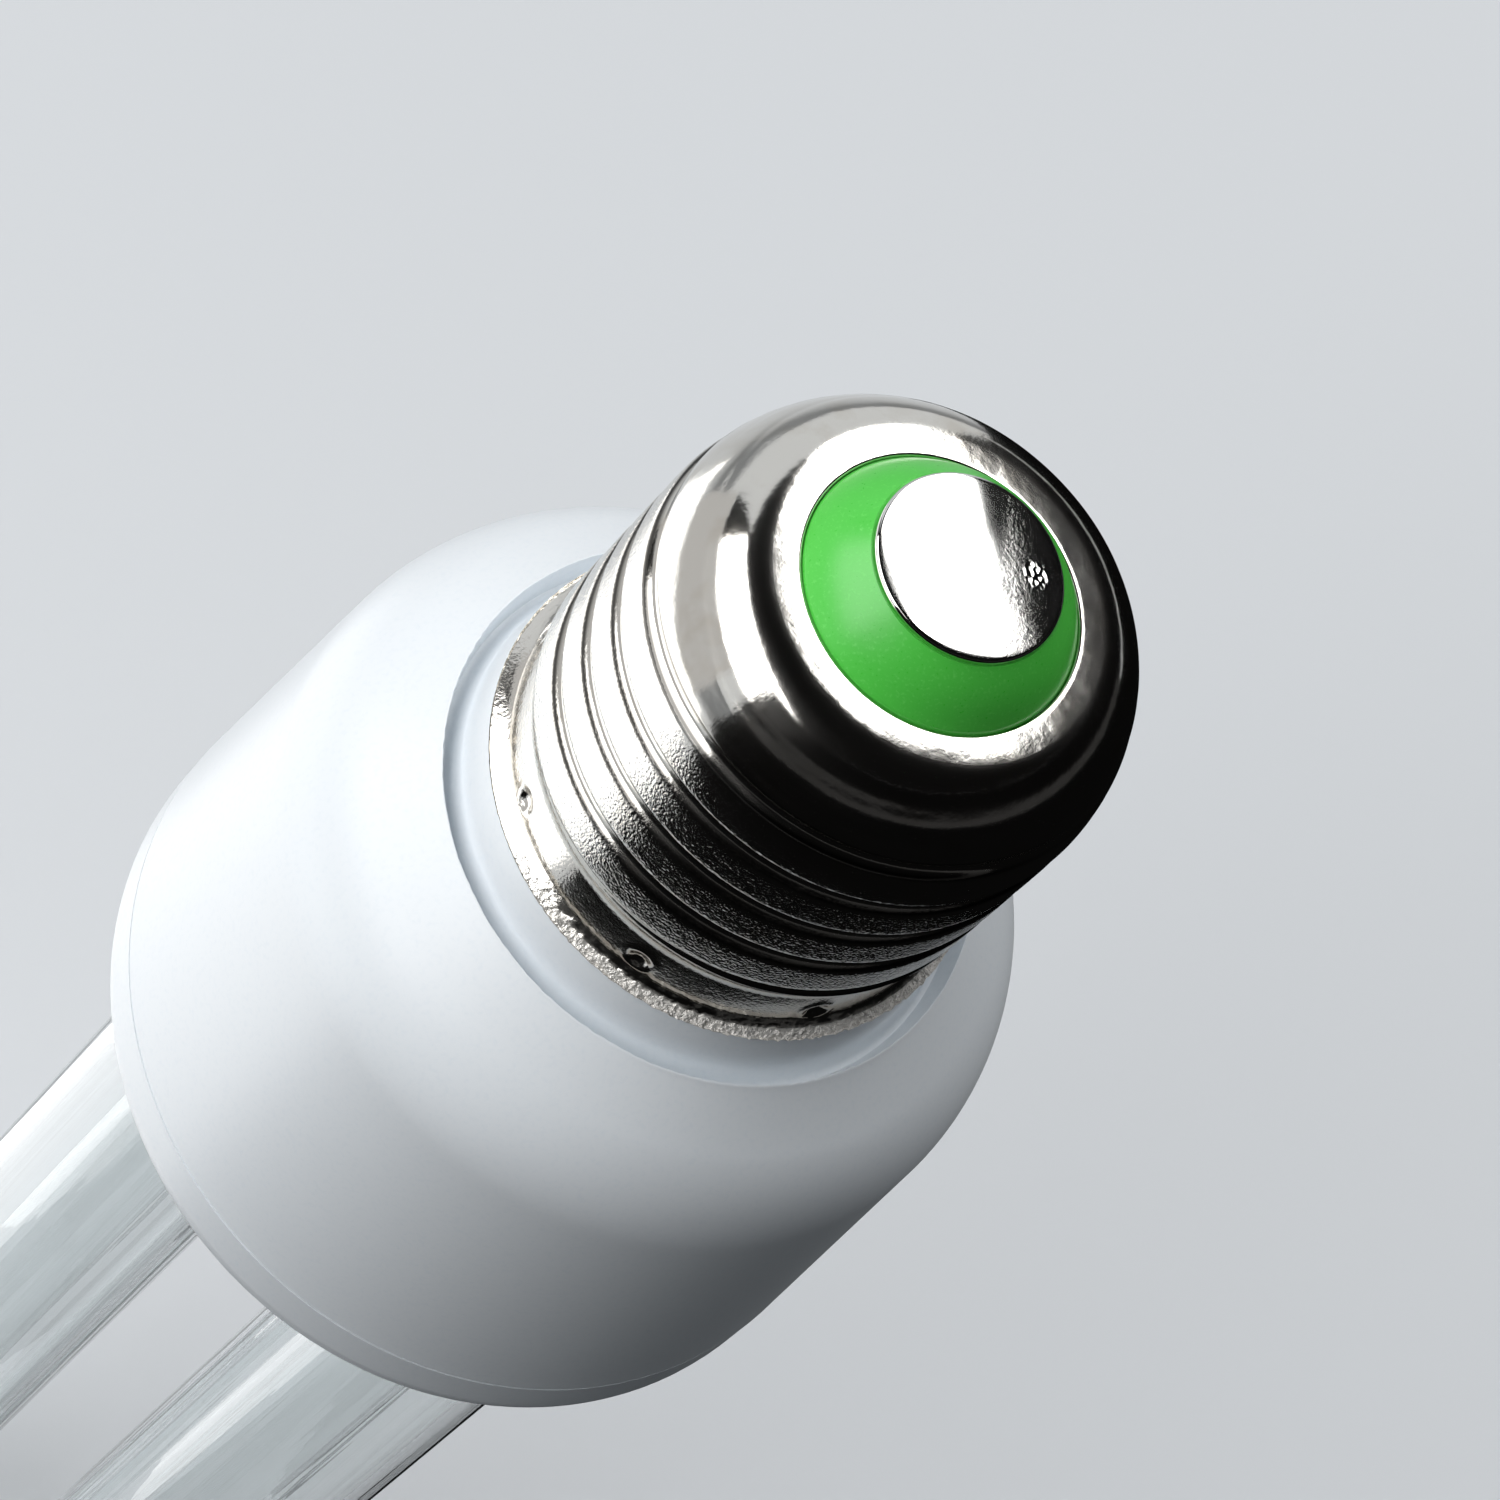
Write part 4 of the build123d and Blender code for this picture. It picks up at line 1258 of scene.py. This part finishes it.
@dataclass
class DischargeLamp:
    """Quartz tube, with its electrodes and the amalgam in its tip.

    Attributes:
        leg: How far each leg's axis lies from the lamp's, across and back, in millimetres.
        filament_depth: Depth of the filaments.
        half_gap: Half the gap between the two lead wires.
        overhang: How far a coil reaches past each wire.
        coil_r: Radius of a coil's middle line.
        wire_r: Radius of the coated wire.
        turns: Turns of a coil.
        turn_steps: Points on each turn.
        wire_sides: Points round the wire.
    """

    leg: float = 9.0
    filament_depth: float = 68.4
    half_gap: float = 1.9
    overhang: float = 0.6
    coil_r: float = 0.42
    wire_r: float = 0.16
    turns: int = 11
    turn_steps: int = 20
    wire_sides: int = 10

    def build_filament(self, number: int, x: float) -> None:
        """Build one coated coil across its two lead wires.

        Args:
            number: One or two, as the CAD names them.
            x: Place of the leg that holds it.
        """
        reach = self.half_gap + self.overhang
        f = np.linspace(0, 1, self.turns * self.turn_steps + 1)
        angle = 2 * math.pi * self.turns * f
        y, z = self.coil_r * np.cos(angle) - self.leg, self.coil_r * np.sin(angle) - self.filament_depth
        path = np.stack([x - reach + 2 * reach * f, y, z], axis=1)
        coil = tube_along(f"electrode_{number}_coil", path, self.wire_r, self.wire_sides)
        finish_piece(coil, EMITTER_COAT, "filament", f"electrode_{number}_filament")

    def build(self) -> None:
        """Build the filaments and dress the quartz and the rest."""
        dress(DrawnQuartz(), "discharge_tube")
        for number, x in ((1, -self.leg), (2, self.leg)):
            self.build_filament(number, x)
            dress(LEAD_WIRE, f"electrode_{number}_leads")
            dress(BEAD_GLASS, f"electrode_{number}_bead")
        dress(AMALGAM, "mercury_amalgam")


@dataclass
class Ballast:
    """Board in the housing, with its parts and the two wires up the neck."""

    transistors: int = 2
    rectifiers: int = 4

    def build(self) -> None:
        """Dress every part of the ballast."""
        dress(PAPER_BOARD, "circuit_board")
        dress(SOLDER, "solder_joints")
        dress(CAN_SLEEVE, "bulk_capacitor")
        dress(FERRITE, "choke_core", "drive_toroid")
        dress(BOBBIN, "choke_bobbin")
        dress(COPPER, "choke_winding", "toroid_windings")
        dress(EPOXY, *[f"transistor_{i + 1}" for i in range(self.transistors)])
        dress(EPOXY, *[f"rectifier_diode_{i + 1}" for i in range(self.rectifiers)])
        dress(DIPPED_RESIN, "film_capacitor_1", "film_capacitor_2")
        dress(LACQUER, "resistor_1", "resistor_2", "fuse_resistor")
        dress(DIAC_GLASS, "diac")
        dress(WIRE_COVER, "line_wire")
        dress(TINNED_WIRE, "neutral_wire")


@dataclass(frozen=True)
class Softbox:
    """Soft lamp that faces the cap.

    Attributes:
        name: Name of the lamp.
        centre: Its middle, in millimetres.
        size: Its width and height.
        power: Its power in watts.
        roll: Its turn round its own axis, in degrees.
        mirrored: Whether the metal mirrors it.
        aim: The point that it faces, on the cap's axis.
    """

    name: str
    centre: tuple[float, float, float]
    size: tuple[float, float]
    power: float
    roll: float = 0.0
    mirrored: bool = True
    aim: tuple[float, float, float] = (0.0, 0.0, -15.0)

    def build(self) -> None:
        """Hang the lamp."""
        light = bpy.data.lights.new(self.name, "AREA")
        light.shape = "RECTANGLE"
        light.size, light.size_y = self.size[0] * MM, self.size[1] * MM
        light.energy = self.power
        lamp = new_object(self.name, light)
        centre = Vector(self.centre)
        facing = (Vector(self.aim) - centre).normalized().to_track_quat("-Z", "Y").to_matrix().to_4x4()
        spin = Matrix.Rotation(math.radians(self.roll), 4, "Z")
        lamp.matrix_world = Matrix.Translation(centre * MM) @ facing @ spin
        lamp.visible_glossy = self.mirrored


@dataclass(frozen=True)
class Card:
    """Card bent round the lamp's axis, which shows only in reflections.

    Attributes:
        name: Name of the card.
        outline: Radius and height of each of its rings, in millimetres.
        sweep: The angles from +X at which it starts and ends, in degrees.
        glow: How bright it is, where one is white.
    """

    name: str
    outline: tuple[tuple[float, float], ...]
    sweep: tuple[float, float]
    glow: float

    def build(self) -> None:
        """Bend the card and hide it from all but reflections."""
        turn = np.radians(np.linspace(self.sweep[0], self.sweep[1], 49))
        rings = [np.stack([r * np.cos(turn), r * np.sin(turn), z + 0 * turn], 1) for r, z in self.outline]
        faces = ring_faces(len(rings), len(turn), False)
        mesh = bpy.data.meshes.new(self.name)
        mesh.from_pydata((np.concatenate(rings) * MM).tolist(), [], faces)
        card = new_object(self.name, mesh)
        # cloth, evenly lit: a flat tone in the reflection
        material, tree, shader = new_material(self.name + "_cloth")
        tree.nodes.remove(shader)
        tone = (self.glow, self.glow, self.glow, 1)
        light = add_node(tree, "ShaderNodeEmission", {"Color": tone, "Strength": 1.0})
        tree.links.new(light.outputs[0], tree.nodes["Material Output"].inputs["Surface"])
        mesh.materials.append(material)
        card.visible_camera = card.visible_diffuse = card.visible_shadow = False
        card.visible_transmission = False


SOFTBOXES = (
    # the main light, which is also the white band on the nose
    Softbox("softbox_side", (-387, -313, 325), (820, 460), 4.8),
    # narrow: the contact mirrors it over about two thirds of its face, and the lip's ring mirrors it too
    Softbox("softbox_over", (-68, 380, 469), (130, 320), 0.85, roll=41.5),
    # lifts the housing's far side without a spot in the metal
    Softbox("softbox_rim", (230, 480, 170), (300, 300), 1.1, mirrored=False),
)

CARDS = (
    # dark to the right, from below the lamp to over it, with one dim strip between
    Card("card_dark_low", ((28, -150), (420, -150), (420, 60)), (-112, 100), 0.003),
    Card("card_dim_strip", ((419, 60), (419, 130)), (-112, 60), 0.035),
    Card("card_dark_side", ((420, 130), (420, 400)), (-112, 100), 0.003),
    # dark nearly all round behind the softboxes, and overhead
    Card("card_dark_wall", ((1300, 250), (900, 900)), (-195, 100), 0.004),
    Card("card_dark_ceiling", ((900, 900), (0, 1300)), (-180, 180), 0.004),
    # pale to the left, and white below it for what faces down
    Card("card_pale_side", ((421, -150), (421, 70)), (165, 235), 0.62),
    Card("card_white_low", ((30, -155), (420, -155)), (150, 240), 2.2),
)


@dataclass
class Studio:
    """Plain pale floor and backdrop, soft lamps, reflection cards and the camera.

    Attributes:
        floor_depth: Depth of the floor, on which the tube's bends stand, in millimetres.
        floor_half: Half the floor's width.
        floor_tone: The floor as the camera, gloss and glass see it, as sRGB hex.
        floor_shade: The floor as it lights the lamp from below.
        floor_glow: Light of the floor's own, for the same rays as its tone.
        backdrop: The world behind it all, for the same rays.
        fill: The world as it lights the lamp.
        focal_px: The camera's focal length, in pixels of its picture.
        frame_px: Width of that picture.
        sensor_mm: Width of the camera's sensor.
        tilt: Angle between the lamp's axis and the line of sight, in radians.
        swing: Which way the axis leans in the picture.
        contact_seen: The contact's middle in the camera's axes, in millimetres: right, down, ahead.
    """

    floor_depth: float = 168.0
    floor_half: float = 3000.0
    floor_tone: str = "C9CCCF"
    floor_shade: str = "6A6C6E"
    floor_glow: float = 0.28
    backdrop: str = "E3E6E9"
    fill: str = "424548"
    focal_px: float = 6483.0
    frame_px: float = 1500.0
    sensor_mm: float = 36.0
    tilt: float = math.radians(35.22)
    swing: float = math.radians(136.08)
    contact_seen: tuple[float, float, float] = (10.576, -8.791, 306.144)

    def seen(self, tree: bpy.types.NodeTree) -> bpy.types.NodeSocket:
        """Find which rays see the pale backdrop: the camera's own, and those off gloss and through glass.

        Args:
            tree: The tree that gets the nodes.

        Returns:
            A socket of one for such rays, and of nothing for the rest.
        """
        path = add_node(tree, "ShaderNodeLightPath")
        total = path.outputs["Is Camera Ray"]
        for kind in ("Is Glossy Ray", "Is Transmission Ray"):
            links = {0: total, 1: path.outputs[kind]}
            total = add_node(tree, "ShaderNodeMath", links, operation="MAXIMUM").outputs[0]
        return total

    def build_floor(self) -> None:
        """Lay the floor that the tube's bends stand on."""
        half, z = self.floor_half * MM, -self.floor_depth * MM
        corners = [(-half, -half, z), (half, -half, z), (half, half, z), (-half, half, z)]
        mesh = bpy.data.meshes.new("floor")
        mesh.from_pydata(corners, [], [(0, 1, 2, 3)])
        floor = new_object("floor", mesh)
        # matt paper: hardly any sheen, so that the floor stays plain
        material, tree, shader = new_material("floor_paper_matt")
        shader.inputs["Roughness"].default_value = 0.9
        seen = self.seen(tree)
        colour = add_node(
            tree,
            "ShaderNodeMix",
            {0: seen, 6: linear(self.floor_shade), 7: linear(self.floor_tone)},
            data_type="RGBA",
        )
        # a little light of its own keeps the far floor pale, and reaches no piece
        glow = add_node(tree, "ShaderNodeMath", {0: seen, 1: self.floor_glow}, operation="MULTIPLY")
        shader.inputs["Emission Color"].default_value = linear(self.floor_tone)
        tree.links.new(colour.outputs[2], shader.inputs["Base Color"])
        tree.links.new(glow.outputs[0], shader.inputs["Emission Strength"])
        mesh.materials.append(material)

    def build_world(self) -> None:
        """Make a pale backdrop for camera, gloss and glass, and a soft fill for the rest."""
        world = bpy.data.worlds.new("studio")
        bpy.context.scene.world = world
        world.use_nodes = True
        tree = world.node_tree
        colour = add_node(
            tree,
            "ShaderNodeMix",
            {0: self.seen(tree), 6: linear(self.fill), 7: linear(self.backdrop)},
            data_type="RGBA",
        )
        tree.links.new(colour.outputs[2], tree.nodes["Background"].inputs["Color"])

    def build_camera(self) -> None:
        """Set the camera where the picture's view of the cap puts it."""
        # the lamp's axes as rows in the camera's own, which run right, down and ahead
        lean, level = math.sin(self.tilt), math.cos(self.tilt)
        axis_z = Vector((-lean * math.cos(self.swing), -lean * math.sin(self.swing), -level))
        axis_y = (Vector((0, 0, 1)) - axis_z * axis_z.z).normalized()
        back = Matrix((axis_y.cross(axis_z), axis_y, axis_z))
        place = -(back @ Vector(self.contact_seen))
        right, up, behind = (back @ Vector(v) for v in ((1, 0, 0), (0, -1, 0), (0, 0, -1)))
        data = bpy.data.cameras.new("camera")
        data.sensor_width = self.sensor_mm
        data.lens = self.sensor_mm * self.focal_px / self.frame_px
        data.clip_start, data.clip_end = 0.01, 20.0
        camera = new_object("camera", data)
        facing = Matrix((right, up, behind)).transposed().to_4x4()
        camera.matrix_world = Matrix.Translation(place * MM) @ facing
        bpy.context.scene.camera = camera

    def build(self) -> None:
        """Build the whole studio."""
        self.build_floor()
        self.build_world()
        for thing in SOFTBOXES + CARDS:
            thing.build()
        self.build_camera()


def main() -> None:
    """Build the sub-assemblies in order and report each."""
    logging.basicConfig(level=logging.INFO, format="%(name)s: %(message)s")
    scene = bpy.context.scene
    scene.view_settings.view_transform = "Standard"
    for assembly in (ScrewCap(), Housing(), DischargeLamp(), Ballast(), Studio()):
        assembly.build()
        log.info("built %s", type(assembly).__name__)


if __name__ == "__main__":
    main()
